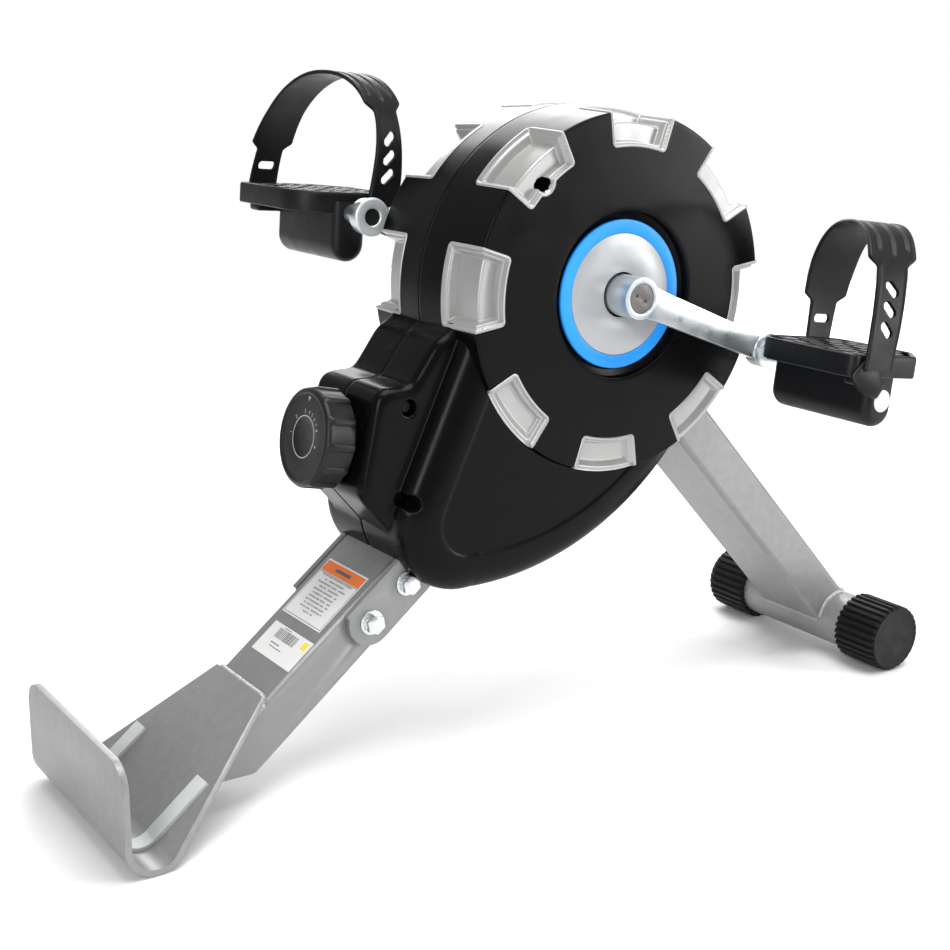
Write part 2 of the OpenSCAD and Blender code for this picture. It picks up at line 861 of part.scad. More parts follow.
// The strap twists as it rises, by up to 15 degrees
function strap_twist(t) = 15 * min(1, max(0, (strap_z(t) - 16) / 64));

function strap_ring(t, e, side) =
    let (dy = strap_y(t + e) - strap_y(t - e),
         dz = strap_z(t + e) - strap_z(t - e),
         l = norm([dy, dz]),
         n = [-dz / l, dy / l] * strap_t / 2,
         u = strap_w(t, side) * cos(strap_twist(t)), v = strap_w(t, side) * sin(strap_twist(t)),
         x = strap_x(t), y = strap_y(t), z = strap_z(t))
    [[x - u, y - v - n[0], z - n[1]], [x + u, y + v - n[0], z - n[1]],
     [x + u, y + v + n[0], z + n[1]], [x - u, y - v + n[0], z + n[1]]];

module foot_strap(side) {
    first = 1.5;
    last = 178.5;
    points = [for (k = [0 : strap_steps])
        each strap_ring(first + (last - first) * k / strap_steps, 0.5, side)];
    sides = [for (k = [0 : strap_steps - 1], j = [0 : 3])
        let (a = 4 * k + j, b = 4 * k + (j + 1) % 4) each [[a, b, b + 4], [a, b + 4, a + 4]]];
    color("#1a1a1b") pedal_place(side)
        polyhedron(points, concat([[3, 2, 1, 0]], sides,
            [[for (j = [0 : 3]) 4 * strap_steps + j]]), convexity = 6);
}

placed() rear_leg();
placed() side_plate(-1);  // right_side_plate
placed() side_plate(1);  // left_side_plate
placed() crank_housing();
placed() stabiliser_tube();
placed() end_cap(-1);  // right_end_cap
placed() end_cap(1);  // left_end_cap
placed() front_leg();
placed() hook_plate();
placed() hook_strips();
placed() leg_bolts();
placed() leg_washers();
placed() leg_nuts();
placed() cover(-1);  // right_cover
placed() cover(1);  // left_cover
placed() inset_panels(-1);  // right_inset_panels
placed() inset_panels(1);  // left_inset_panels
placed() trim_ring(-1);  // right_trim_ring
placed() trim_ring(1);  // left_trim_ring
placed() hub_disc(-1);  // right_hub_disc
placed() hub_disc(1);  // left_hub_disc
placed() cover_screws();
placed() crank_bearing(-1);  // right_crank_bearing
placed() crank_bearing(1);  // left_crank_bearing
placed() crank_axle();
placed() crank_arm(-1);  // right_crank_arm
placed() crank_arm(1);  // left_crank_arm
placed() crank_bolts();
placed() dust_cap(-1);  // right_dust_cap
placed() dust_cap(1);  // left_dust_cap
placed() drive_pulley();
placed() drive_belt();
placed() flywheel();
placed() flywheel_axle();
placed() flywheel_pulley();
placed() flywheel_bearings();
placed() idler_pulley();
placed() idler_arm();
placed() idler_bolt();
placed() magnet_bracket();
placed() brake_magnets();
placed() bracket_pin();
placed() bracket_spring();
placed() tension_cable();
placed() tension_knob();
placed() knob_spindle();
placed() knob_collar();
placed() pedal_spindle(-1);  // right_pedal_spindle
placed() pedal_spindle(1);  // left_pedal_spindle
placed() pedal_platform(-1);  // right_pedal_platform
placed() pedal_platform(1);  // left_pedal_platform
placed() pedal_block(-1);  // right_pedal_block
placed() pedal_block(1);  // left_pedal_block
placed() pedal_weight(-1);  // pedal_weight_right
placed() pedal_weight(1);  // pedal_weight_left
placed() foot_strap(-1);  // right_foot_strap
placed() foot_strap(1);  // left_foot_strap
placed() leg_labels();
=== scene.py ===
import json
import math

import bmesh
import bpy
import numpy as np
from mathutils import Matrix, Vector


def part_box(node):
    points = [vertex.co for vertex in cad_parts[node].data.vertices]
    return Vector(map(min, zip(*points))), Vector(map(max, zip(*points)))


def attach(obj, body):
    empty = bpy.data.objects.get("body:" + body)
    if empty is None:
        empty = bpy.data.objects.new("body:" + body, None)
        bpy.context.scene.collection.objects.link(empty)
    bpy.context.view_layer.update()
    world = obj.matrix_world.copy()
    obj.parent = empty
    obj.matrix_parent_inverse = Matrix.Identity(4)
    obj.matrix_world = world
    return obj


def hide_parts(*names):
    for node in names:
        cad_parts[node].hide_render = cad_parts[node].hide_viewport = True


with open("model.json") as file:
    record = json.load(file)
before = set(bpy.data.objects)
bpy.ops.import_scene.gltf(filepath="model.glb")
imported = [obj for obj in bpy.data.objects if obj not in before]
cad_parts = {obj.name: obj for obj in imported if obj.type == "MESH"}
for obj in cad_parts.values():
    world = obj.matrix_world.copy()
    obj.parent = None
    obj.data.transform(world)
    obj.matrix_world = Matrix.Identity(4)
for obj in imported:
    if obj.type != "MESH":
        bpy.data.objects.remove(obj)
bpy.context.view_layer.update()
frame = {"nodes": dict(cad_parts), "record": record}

RNG = np.random.default_rng(7)
BODIES = frame["record"]["behaviour"]["bodies"]
SLOT_OF = {s["node"]: s["material_slot"] for s in frame["record"]["subparts"]}
BODY_OF = {n: b for b, nodes in BODIES.items() for n in nodes}


def centre(node):
    lo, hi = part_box(node)
    return (Vector(lo) + Vector(hi)) / 2


AXLE = centre("crank_axle")
# Pieces are shaped in millimetres, with x from the crank axis and z from the floor
CX, CZ = AXLE.x * 1000, AXLE.z * 1000


def metres(points):
    p = np.array(points, float).reshape(-1, 3)
    return (p + [CX, 0, 0]) / 1000


def linked(name, data):
    obj = bpy.data.objects.new(name, data)
    bpy.context.scene.collection.objects.link(obj)
    return obj


# ---------------------------------------------------------------- materials

def node(tree, kind, x, y, **values):
    n = tree.nodes.new(kind)
    n.location = (x, y)
    for key, value in values.items():
        setattr(n, key, value)
    return n


def set_inputs(n, **values):
    for key, value in values.items():
        n.inputs[key.replace("_", " ")].default_value = value


def finish_material(name, color, rough=(0.35, 0.5), metallic=0.0, grain=(900, 0.1), tint=0.06,
                    mottle=18, wear=0.0, wear_color=None, specular=0.5, streak=0.0, dust=0.0):
    """A procedural finish: mottled colour, uneven gloss, fine grain (scale, depth), edge wear, settled dust."""
    mat = bpy.data.materials.new(name)
    mat.use_nodes = True
    tree = mat.node_tree
    tree.nodes.clear()
    link = tree.links.new
    out = node(tree, "ShaderNodeOutputMaterial", 900, 0)
    shader = node(tree, "ShaderNodeBsdfPrincipled", 600, 0)
    set_inputs(shader, Metallic=metallic, Specular_IOR_Level=specular)
    link(shader.outputs["BSDF"], out.inputs["Surface"])
    coord = node(tree, "ShaderNodeTexCoord", -1200, 0)

    def noise(scale, detail, x, y):
        n = node(tree, "ShaderNodeTexNoise", x, y)
        set_inputs(n, Scale=scale, Detail=detail)
        link(coord.outputs["Object"], n.inputs["Vector"])
        return n.outputs["Fac"]

    def ranged(value, lo, hi, x, y, start=0.25, end=0.75):
        n = node(tree, "ShaderNodeMapRange", x, y)
        set_inputs(n, From_Min=start, From_Max=end, To_Min=lo, To_Max=hi)
        link(value, n.inputs["Value"])
        return n.outputs["Result"]

    def product(a, b, x, y):
        n = node(tree, "ShaderNodeMath", x, y, operation="MULTIPLY")
        link(a, n.inputs[0])
        link(b, n.inputs[1])
        return n.outputs[0]

    def mixed(fac, a, b, x, y):
        n = node(tree, "ShaderNodeMix", x, y, data_type="RGBA")
        link(fac, n.inputs[0])
        for k, c in ((6, a), (7, b)):
            if hasattr(c, "is_output"):
                link(c, n.inputs[k])
            else:
                n.inputs[k].default_value = (*c, 1)
        return n.outputs[2]

    def bump(height, strength, distance, x, y):
        n = node(tree, "ShaderNodeBump", x, y)
        set_inputs(n, Strength=strength, Distance=distance)
        link(height, n.inputs["Height"])
        return n

    def toned(gain, lift=0.0):
        return tuple(np.clip(np.array(color, float) * gain + lift, 0, 1))

    fine = noise(grain[0], 3, -800, -200)
    base = mixed(ranged(noise(mottle, 4, -800, 200), 0, 1, -600, 200), toned(1 - tint), toned(1 + tint), -400, 200)
    tone = mixed(ranged(fine, 0, 0.5, -600, 50), base, toned(1 + 2 * tint, 0.0004), -200, 200)
    if wear > 0:
        shape = node(tree, "ShaderNodeNewGeometry", -800, 450)
        edge = ranged(shape.outputs["Pointiness"], 0, wear, -600, 450, 0.52, 0.60)
        ragged = ranged(noise(120, 4, -800, 600), 0, 1, -600, 600, 0.4, 0.6)
        tone = mixed(product(edge, ragged, -400, 450), tone, wear_color or toned(1.6, 0.02), 0, 300)
    if dust > 0:
        up = node(tree, "ShaderNodeNewGeometry", -800, 800)
        split = node(tree, "ShaderNodeSeparateXYZ", -600, 800)
        link(up.outputs["Normal"], split.inputs[0])
        lying = product(ranged(split.outputs["Z"], 0, dust, -500, 700, 0.5, 1.0),
                        ranged(noise(60, 6, -800, 950), 0, 1, -600, 950), -400, 800)
        tone = mixed(lying, tone, (0.35, 0.34, 0.32), 100, 500)
    link(tone, shader.inputs["Base Color"])
    link(ranged(noise(mottle * 2.7, 5, -800, -50), rough[0], rough[1], -600, -50), shader.inputs["Roughness"])
    last = bump(fine, grain[1], 0.0004, 300, -300)
    if streak > 0:
        lines = node(tree, "ShaderNodeMapping", -1000, -600)
        set_inputs(lines, Scale=(30, 1500, 1500))
        link(coord.outputs["Object"], lines.inputs["Vector"])
        brushed = node(tree, "ShaderNodeTexNoise", -800, -600)
        set_inputs(brushed, Scale=1.0)
        link(lines.outputs["Vector"], brushed.inputs["Vector"])
        grained, last = last, bump(brushed.outputs["Fac"], streak, 0.0002, 450, -500)
        link(grained.outputs["Normal"], last.inputs["Normal"])
    link(last.outputs["Normal"], shader.inputs["Normal"])
    return mat


SCUFFS = {"wear": 0.3, "wear_color": (0.03, 0.03, 0.032)}
# slot: name, colour, roughness range, metallic, grain, tint, mottle, and any wear, gloss or dust
FINISHES = {
    "frame_paint": ("frame_paint", (0.25, 0.253, 0.248), (0.38, 0.43), 0.45, (2600, 0.10), 0.015, 9,
                    {"wear": 0.2, "wear_color": (0.36, 0.365, 0.36), "dust": 0.01}),
    "end_cap_rubber": ("end_cap", (0.0035, 0.0035, 0.004), (0.42, 0.6), 0, (1400, 0.25), 0.2, 30,
                       {"specular": 0.2, "dust": 0.01, **SCUFFS}),
    "grip_strip": ("grip_strip", (0.46, 0.475, 0.48), (0.6, 0.75), 0, (1800, 0.4), 0.05, 40, {}),
    "zinc_fastener": ("fastener", (0.66, 0.69, 0.70), (0.18, 0.34), 1, (700, 0.12), 0.10, 60, {"wear": 0.3}),
    "cover_plastic": ("cover", (0.0020, 0.0020, 0.0023), (0.20, 0.29), 0, (1500, 0.05), 0.12, 14,
                      {"specular": 0.10, "dust": 0.003}),
    "inset_silver": ("inset", (0.38, 0.385, 0.375), (0.30, 0.42), 0.45, (2200, 0.06), 0.03, 22, {}),
    "trim_blue": ("trim_blue", (0.015, 0.30, 0.88), (0.28, 0.4), 0, (1500, 0.06), 0.05, 30,
                  {"specular": 0.35}),
    "disc_silver": ("disc", (0.42, 0.43, 0.44), (0.3, 0.42), 0.35, (2200, 0.08), 0.03, 16, {}),
    "black_screw": ("screw", (0.012, 0.012, 0.013), (0.3, 0.5), 0.9, (900, 0.2), 0.2, 50, {}),
    "bearing_steel": ("bearing", (0.35, 0.36, 0.37), (0.2, 0.35), 1, (900, 0.1), 0.1, 40, {}),
    "shaft_steel": ("shaft", (0.45, 0.46, 0.47), (0.2, 0.35), 1, (900, 0.1), 0.1, 40, {"streak": 0.2}),
    "crank_zinc": ("crank", (0.60, 0.64, 0.66), (0.24, 0.40), 1, (500, 0.13), 0.08, 34,
                   {"wear": 0.2, "streak": 0.12}),
    "cap_grey": ("cap_grey", (0.16, 0.15, 0.145), (0.35, 0.5), 0.6, (1200, 0.15), 0.15, 60, {}),
    "pulley_plastic": ("pulley", (0.01, 0.01, 0.011), (0.4, 0.55), 0, (900, 0.15), 0.1, 40, {}),
    "belt_rubber": ("belt", (0.008, 0.008, 0.008), (0.55, 0.7), 0, (900, 0.3), 0.15, 40, {}),
    "cast_flywheel": ("flywheel", (0.16, 0.165, 0.17), (0.35, 0.5), 1, (600, 0.3), 0.12, 40, {}),
    "bracket_steel": ("bracket", (0.4, 0.41, 0.42), (0.28, 0.42), 1, (900, 0.1), 0.08, 40, {}),
    "magnet": ("magnet", (0.2, 0.2, 0.21), (0.2, 0.35), 1, (900, 0.1), 0.08, 40, {}),
    "knob_plastic": ("knob", (0.006, 0.006, 0.007), (0.32, 0.44), 0, (2200, 0.22), 0.12, 40,
                     {"specular": 0.3, **SCUFFS}),
    "pedal_plastic": ("pedal", (0.0035, 0.0035, 0.004), (0.34, 0.48), 0, (1500, 0.28), 0.15, 30,
                      {"specular": 0.25, "dust": 0.008, **SCUFFS}),
    "strap_rubber": ("strap", (0.004, 0.004, 0.0045), (0.36, 0.5), 0, (1700, 0.3), 0.15, 30,
                     {"specular": 0.25, **SCUFFS, "wear": 0.2}),
    "label_white": ("label", (0.70, 0.70, 0.685), (0.4, 0.55), 0, (1500, 0.05), 0.03, 60, {}),
}
MATERIALS = {slot: finish_material("mat_" + row[0], *row[1:-1], **row[-1]) for slot, row in FINISHES.items()}


def ink(name, color, tint=0.05):
    return finish_material("mat_" + name, color, (0.4, 0.5), 0, (1500, 0.05), tint, 60)


ORANGE = ink("label_orange", (0.80, 0.17, 0.02))
YELLOW = ink("label_yellow", (0.75, 0.62, 0.05))
INK = ink("label_ink", (0.09, 0.09, 0.095), 0.1)
PALE_INK = ink("label_pale_ink", (0.30, 0.30, 0.30), 0.1)
DIAL_INK = ink("dial_ink", (0.34, 0.345, 0.35))
STICKER = finish_material("mat_sticker", (0.78, 0.77, 0.76), (0.35, 0.45), 0, (1500, 0.05), 0.03, 60)
# painted shade: a near-black matte colour for the thread and floor of the crank eye's hole stands in for the shade
# inside it
PAINTED_HOLE_SHADE = finish_material("mat_dark_recess", (0.002, 0.002, 0.002), (0.5, 0.6), 0, (900, 0.1), 0.1, 40)
WELD = finish_material("mat_weld", (0.34, 0.345, 0.34), (0.30, 0.42), 0.45, (1200, 0.5), 0.08, 60)
EYE_ZINC = finish_material("mat_crank_eye", (0.66, 0.69, 0.70), (0.34, 0.46), 0.55, (700, 0.12), 0.06, 60)


# ---------------------------------------------------------------- making pieces

def piece(name, points, faces, material, body, nodes=(), angle=35):
    """A mesh from points in crank millimetres. It rides on a body and may stand for CAD nodes."""
    mesh = bpy.data.meshes.new(name)
    mesh.from_pydata(metres(points).tolist(), [], [tuple(int(i) for i in f) for f in faces])
    mesh.validate()
    return dressed(name, mesh, material, body, nodes, angle)


def dressed(name, mesh, material, body, nodes, angle):
    obj = linked(name, mesh)
    mesh.materials.clear()
    mesh.materials.append(material)
    shade(mesh, angle)
    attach(obj, body)
    if nodes:
        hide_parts(*nodes)
    return obj


def shade(mesh, angle):
    mesh.polygons.foreach_set("use_smooth", [True] * len(mesh.polygons))
    mesh.set_sharp_from_angle(angle=math.radians(angle))
    mesh.update()


def grid_faces(n, m, close_u=False, close_v=False, flip=False):
    """Quads over n x m points, row by row."""
    i, j = np.meshgrid(np.arange(n if close_u else n - 1), np.arange(m if close_v else m - 1), indexing="ij")
    i, j = i.ravel(), j.ravel()
    i2, j2 = (i + 1) % n, (j + 1) % m
    quads = np.stack([i * m + j, i2 * m + j, i2 * m + j2, i * m + j2], 1)
    return quads[:, ::-1] if flip else quads


def smooth(x, a, b):
    t = np.clip((x - a) / (b - a), 0, 1)
    return t * t * (3 - 2 * t)


def box_sdf(a, b, ca, cb, ha, hb, r):
    """Distance to a rounded rectangle, negative inside."""
    qa, qb = np.abs(a - ca) - ha + r, np.abs(b - cb) - hb + r
    return np.minimum(np.maximum(qa, qb), 0) + np.hypot(np.maximum(qa, 0), np.maximum(qb, 0)) - r


def trimmed(a, b, sdf):
    """Moves grid points that lie just outside a contour onto it."""
    e = 0.05
    for _ in range(2):
        d = sdf(a, b)
        ga = (sdf(a + e, b) - sdf(a - e, b)) / (2 * e)
        gb = (sdf(a, b + e) - sdf(a, b - e)) / (2 * e)
        out = d > 0
        a = np.where(out, a - d * ga, a)
        b = np.where(out, b - d * gb, b)
    return a, b


def joined(parts):
    points, faces, base = [], [], 0
    for p, f in parts:
        points.append(np.array(p, float))
        faces += [tuple(int(i) + base for i in q) for q in f]
        base += len(p)
    return np.vstack(points), faces


def normals_out(obj, width=0.0):
    """Turns the faces outward, and rounds the mesh's own edges if a width is given."""
    bm = bmesh.new()
    bm.from_mesh(obj.data)
    bmesh.ops.recalc_face_normals(bm, faces=bm.faces)
    if width:
        bevelled(bm, bm.edges, width, 3)
    bm.to_mesh(obj.data)
    bm.free()
    if width:
        shade(obj.data, 40)


def bevelled(bm, edges, width, segments):
    bmesh.ops.bevel(bm, geom=edges, offset=width / 1000, segments=segments, profile=0.5, affect="EDGES",
                    clamp_overlap=True)


def refined(node_name, width, segments):
    """A CAD node's shape again, welded, with its edges rounded."""
    work = bmesh.new()
    work.from_mesh(frame["nodes"][node_name].data)
    bmesh.ops.remove_doubles(work, verts=work.verts, dist=2e-6)
    bmesh.ops.dissolve_limit(work, angle_limit=math.radians(1.0), verts=work.verts, edges=work.edges)
    bevelled(work, [e for e in work.edges if len(e.link_faces) == 2
                    and e.calc_face_angle(0) > math.radians(25)], width, segments)
    bmesh.ops.triangulate(work, faces=[f for f in work.faces if len(f.verts) > 4])
    mesh = bpy.data.meshes.new(node_name + "_fine")
    work.to_mesh(mesh)
    work.free()
    slot = SLOT_OF[node_name]
    return dressed(node_name + "_fine", mesh, MATERIALS[slot], BODY_OF[node_name], [node_name], 40)


# ---------------------------------------------------------------- drum covers

# Drum: radius at the seam and at the faces, half width; the recess round the hub disc
SEAM_R, FACE_R, HALF = 147.5, 144.0, 74.0
RECESS_R, RECESS_Y = 67.0, 66.5
# Inset panels: angles, half span, how deep they sink, and how far they run over rim and face
INSETS = [39.5 + 45 * k for k in range(8)]
INSET_HALF, SINK = 13.3, 9.0
RIM_LEN, FACE_LEN = 44.0, 28.0
# Panels that the lower cover partly hides, and the one with a screw hole at (radius, angle)
COVERED = (4, 5, 6)
SHORT_RIM, SHORT_SINK = 6.0, 6.0
SCREWED, HOLE = 2, (122.0, 131.4)
HOLE_AT = (math.radians(HOLE[1] - INSETS[SCREWED]) * HOLE[0], FACE_R - HOLE[0])


def lay(b, depth):
    """Radius and y at profile place b: below 0 on the rim, above 0 on the face, sunk by a depth."""
    y_rim = HALF + b
    r_rim = SEAM_R + (FACE_R - SEAM_R) * y_rim / HALF - depth
    squeezed = HALF - RIM_LEN + (b + RIM_LEN) * (RIM_LEN - depth) / RIM_LEN
    y_rim = np.where(b > -RIM_LEN, squeezed, y_rim)
    r_face = np.where(b < FACE_LEN, FACE_R - FACE_LEN + (FACE_LEN - b) * (FACE_LEN - depth) / FACE_LEN,
                      FACE_R - b)
    return np.where(b < 0, r_rim, r_face), np.where(b < 0, y_rim, HALF - depth)


def polar(r, y, theta, side):
    t = np.radians(theta)
    return np.stack([r * np.cos(t), side * y, CZ + r * np.sin(t)], -1)


def arc_radius(b):
    return np.where(b > 0, FACE_R - b, FACE_R)


def inset_sdf(k):
    """Contour of an inset in (arc, profile) millimetres; narrower towards the hub."""
    rim = SHORT_RIM if k in COVERED else RIM_LEN

    def sdf(a, b):
        wide = math.radians(INSET_HALF) * arc_radius(b)
        d = box_sdf(a, b, 0, (FACE_LEN - rim) / 2, wide, (FACE_LEN + rim) / 2, 4.5)
        if k == SCREWED:
            d = np.minimum(d, np.hypot(a - HOLE_AT[0], b - HOLE_AT[1]) - 10.5)
        return d
    return sdf


def dish(d):
    """How far the floor has sunk, from the distance inside the border: a bead, a ledge, a step."""
    return 0.28 * smooth(d, 2.6, 3.6) + 0.72 * smooth(d, 5.0, 8.2)


def inset_piece_points(k, side, step):
    rim, deep = (SHORT_RIM, SHORT_SINK) if k in COVERED else (RIM_LEN, SINK)
    sdf = inset_sdf(k)
    a0 = np.arange(-40, 40 + step, step)
    b0 = np.concatenate([np.arange(-rim - 1.5, -0.001, step), [0.0], np.arange(step, FACE_LEN + 9, step)])
    a, b = np.meshgrid(a0, b0, indexing="ij")
    keep = sdf(a, b) < step * 0.9
    a, b = trimmed(a, b, sdf)
    d = -sdf(a, b)
    border = np.where(d < 3.8, 0.9 * np.sqrt(np.clip(1 - ((d - 1.9) / 1.9) ** 2, 0, 1)), 0)
    theta = INSETS[k] + np.degrees(a / arc_radius(b))
    # the crease where rim and face meet is rounded, and the outer edge tucks under the cover's skin
    near = np.clip(1 - np.abs(b) / 2.2, 0, 1) ** 2
    tuck = smooth(-d, -0.6, 0.2) * 1.6
    r, y = lay(b, dish(d) * deep)
    r = r - near * 0.55 + np.where(b < 0, border - tuck, border * near)
    y = y - near * 0.55 + np.where(b < 0, border * near, border - tuck)
    quads = grid_faces(*a.shape, flip=side > 0)
    quads = quads[keep.ravel()[quads].all(axis=1)]
    if k == SCREWED:
        off_hole = np.hypot(a - HOLE_AT[0], b - HOLE_AT[1]).ravel()
        quads = quads[~(off_hole[quads] < 6.1).any(axis=1)]
    return polar(r, y, theta, side).reshape(-1, 3), quads


def compact(points, faces):
    used = np.unique(faces)
    index = np.full(len(points), -1)
    index[used] = np.arange(len(used))
    return points[used], index[faces]


def inset_panels(side, label):
    points, faces = joined([compact(*inset_piece_points(k, side, 0.8)) for k in range(8)])
    piece(label + "_insets", points, faces, MATERIALS["inset_silver"], "frame", [label + "_inset_panels"],
          60)


def drum_shell(side, label):
    """The drum's skin as one turned grid, pushed well in under each inset."""
    theta = np.arange(0, 360, 0.4)
    b = np.concatenate([[-HALF - 0.01, -HALF + 0.25, -HALF + 0.9], np.linspace(-HALF + 2, -3, 46),
                        [-1.6, -1.1, -0.6, -0.25, 0.0, 0.25, 0.6, 1.1, 1.6], np.arange(3, FACE_LEN + 12, 1.0),
                        np.linspace(FACE_LEN + 13, FACE_R - RECESS_R - 1.2, 14)])
    t2, b2 = np.meshgrid(theta, b, indexing="ij")
    depth = np.zeros_like(t2)
    for k in range(8):
        a = (t2 - INSETS[k] + 180) % 360 - 180
        d = np.where(np.abs(a) < 20, -inset_sdf(k)(np.radians(a) * arc_radius(b2), b2), -50)
        depth = np.maximum(depth, smooth(d, 1.2, 2.2) * (SINK + 5))
    r, y = lay(b2, depth)
    corner = np.where(depth < 0.01, np.clip(1 - np.abs(b2) / 1.6, 0, 1) ** 2 * 0.45, 0)
    seam = np.where(b2 < -HALF + 0.6, 0.8 * (1 - smooth(b2, -HALF - 0.1, -HALF + 0.7)), 0)
    r = r - corner - seam
    y = np.where(b2 < -HALF, 0.15, y - corner)
    # rounded lip of the recess, its wall and its floor
    lip = [(RECESS_R + 0.7, HALF - 0.12), (RECESS_R + 0.25, HALF - 0.4), (RECESS_R, HALF - 1.0),
           (RECESS_R, RECESS_Y + 0.6), (RECESS_R - 0.6, RECESS_Y), (40.0, RECESS_Y - 0.4), (19.5, RECESS_Y - 0.4),
           (19.5, 50.0)]
    r, y = (np.hstack([grid, np.tile([p[i] for p in lip], (len(theta), 1))]) for i, grid in ((0, r), (1, y)))
    points = polar(r, y, np.repeat(theta[:, None], r.shape[1], 1), side)
    piece(label + "_drum", points.reshape(-1, 3), grid_faces(*r.shape, close_u=True, flip=side > 0),
          MATERIALS["cover_plastic"], "frame", [label + "_cover"], 50)


# ---------------------------------------------------------------- lower covers, from a distance field

CORE = [(-60, 420), (-100, 400), (-150, 354), (-160, 349), (-183, 317), (-207, 317), (-214.5, 311),
        (-230, 236), (-197, 197.5), (-191, 181), (-168, 165), (-127, 153), (-57, 162), (-16, 177),
        (58, 228), (88, 300), (60, 420)]
CORNER, CORNER_R = (-141.7, 209.0), 60.0
BELLY, BELLY_R = (-127.0, 409.0), 260.0
LEAN = math.radians(24.9)
# The bulge on each side: where it starts, its low wall, the width of its oval rim, its flat panel
BULGE_Y, WALL, RIM, PANEL_Y, CREASE = 49, 3.2, 31.0, 69.6, 0.9
SCREW_HOLES = ((-186, 300.5), (-192.7, 228.8))


def polygon_sdf(x, z, loop):
    best = np.full(x.shape, 1e9)
    inside = np.zeros(x.shape, bool)
    for (ax, az), (bx, bz) in zip(loop, loop[1:] + loop[:1]):
        ex, ez = bx - ax, bz - az
        t = np.clip(((x - ax) * ex + (z - az) * ez) / (ex * ex + ez * ez), 0, 1)
        best = np.minimum(best, np.hypot(x - ax - t * ex, z - az - t * ez))
        cross = (az > z) != (bz > z)
        at = ax + (z - az) * ex / (ez if ez else 1e-9)
        inside ^= cross & (x < at)
    return np.where(inside, -best, best)


def smin(a, b, k):
    h = np.clip(0.5 + 0.5 * (b - a) / k, 0, 1)
    return b * (1 - h) + a * h - k * h * (1 - h)


def smax(a, b, k):
    return -smin(-a, -b, k)


def rounded_slab(d2, over, r):
    """Outline distance and height above the slab's face, joined by a round edge."""
    u, v = d2 + r, over + r
    return np.minimum(np.maximum(u, v), 0) + np.hypot(np.maximum(u, 0), np.maximum(v, 0)) - r


def softened(a, n, times=3):
    """Running mean over n x n cells: it rounds an outline's corners."""
    for _ in range(times):
        for axis in (0, 1):
            a = np.moveaxis(a, axis, 0)
            wide = np.pad(a, ((n, n), (0, 0)), mode="edge")
            total = np.cumsum(np.vstack([np.zeros((1, wide.shape[1])), wide]), axis=0)
            mean = (total[2 * n + 1:] - total[:-2 * n - 1]) / (2 * n + 1)
            a = np.moveaxis(mean, 0, axis)
    return a


def bulge_height(d):
    """The bulge's face: a low wall, an oval rim, a soft crease, then the flat panel."""
    u = np.clip(-d / RIM, 0, 1)
    foot = BULGE_Y + WALL
    rim = foot + (PANEL_Y + CREASE - foot) * np.sqrt(np.clip(1 - (1 - u) ** 2.2, 0, 1))
    return rim - CREASE * smooth(-d, RIM, RIM + 1.6)


def bulge_outline(x, z):
    x, z = x - CORNER[0], z - CORNER[1]
    left = z * math.sin(LEAN) - x * math.cos(LEAN) - CORNER_R
    belly = np.hypot(x + CORNER[0] - BELLY[0], z + CORNER[1] - BELLY[1]) - BELLY_R
    # above the line through the corner's centre the straight left edge bounds the bulge
    upper = z * math.cos(LEAN) + x * math.sin(LEAN)
    return np.where((x < 8) & (upper < 0), np.hypot(x, z) - CORNER_R, np.maximum(belly, left))


def cover_field(x, y, z, side, step):
    """Distance field of a lower cover: its core, the bulge, the drum's clearance and the screw holes."""
    outline = softened(polygon_sdf(x[:, 0, :], z[:, 0, :], CORE), round(3.2 / step))[:, None, :]
    bulge = bulge_outline(x[:, 0, :], z[:, 0, :])[:, None, :]
    field = smin(rounded_slab(outline, y - BULGE_Y, 8.5), np.maximum(bulge, y - bulge_height(bulge)), 1.6)
    field = np.maximum(field, np.where(y > 46, 143.4, 139.5) - np.hypot(x, z - CZ))
    field = np.maximum(field, 0.2 - y)
    if side < 0:
        for hx, hz in SCREW_HOLES:
            hole = np.maximum(np.hypot(x - hx, z - hz) - 6.4, 39.0 - y)
            field = smax(field, -hole, 1.0)
    return field


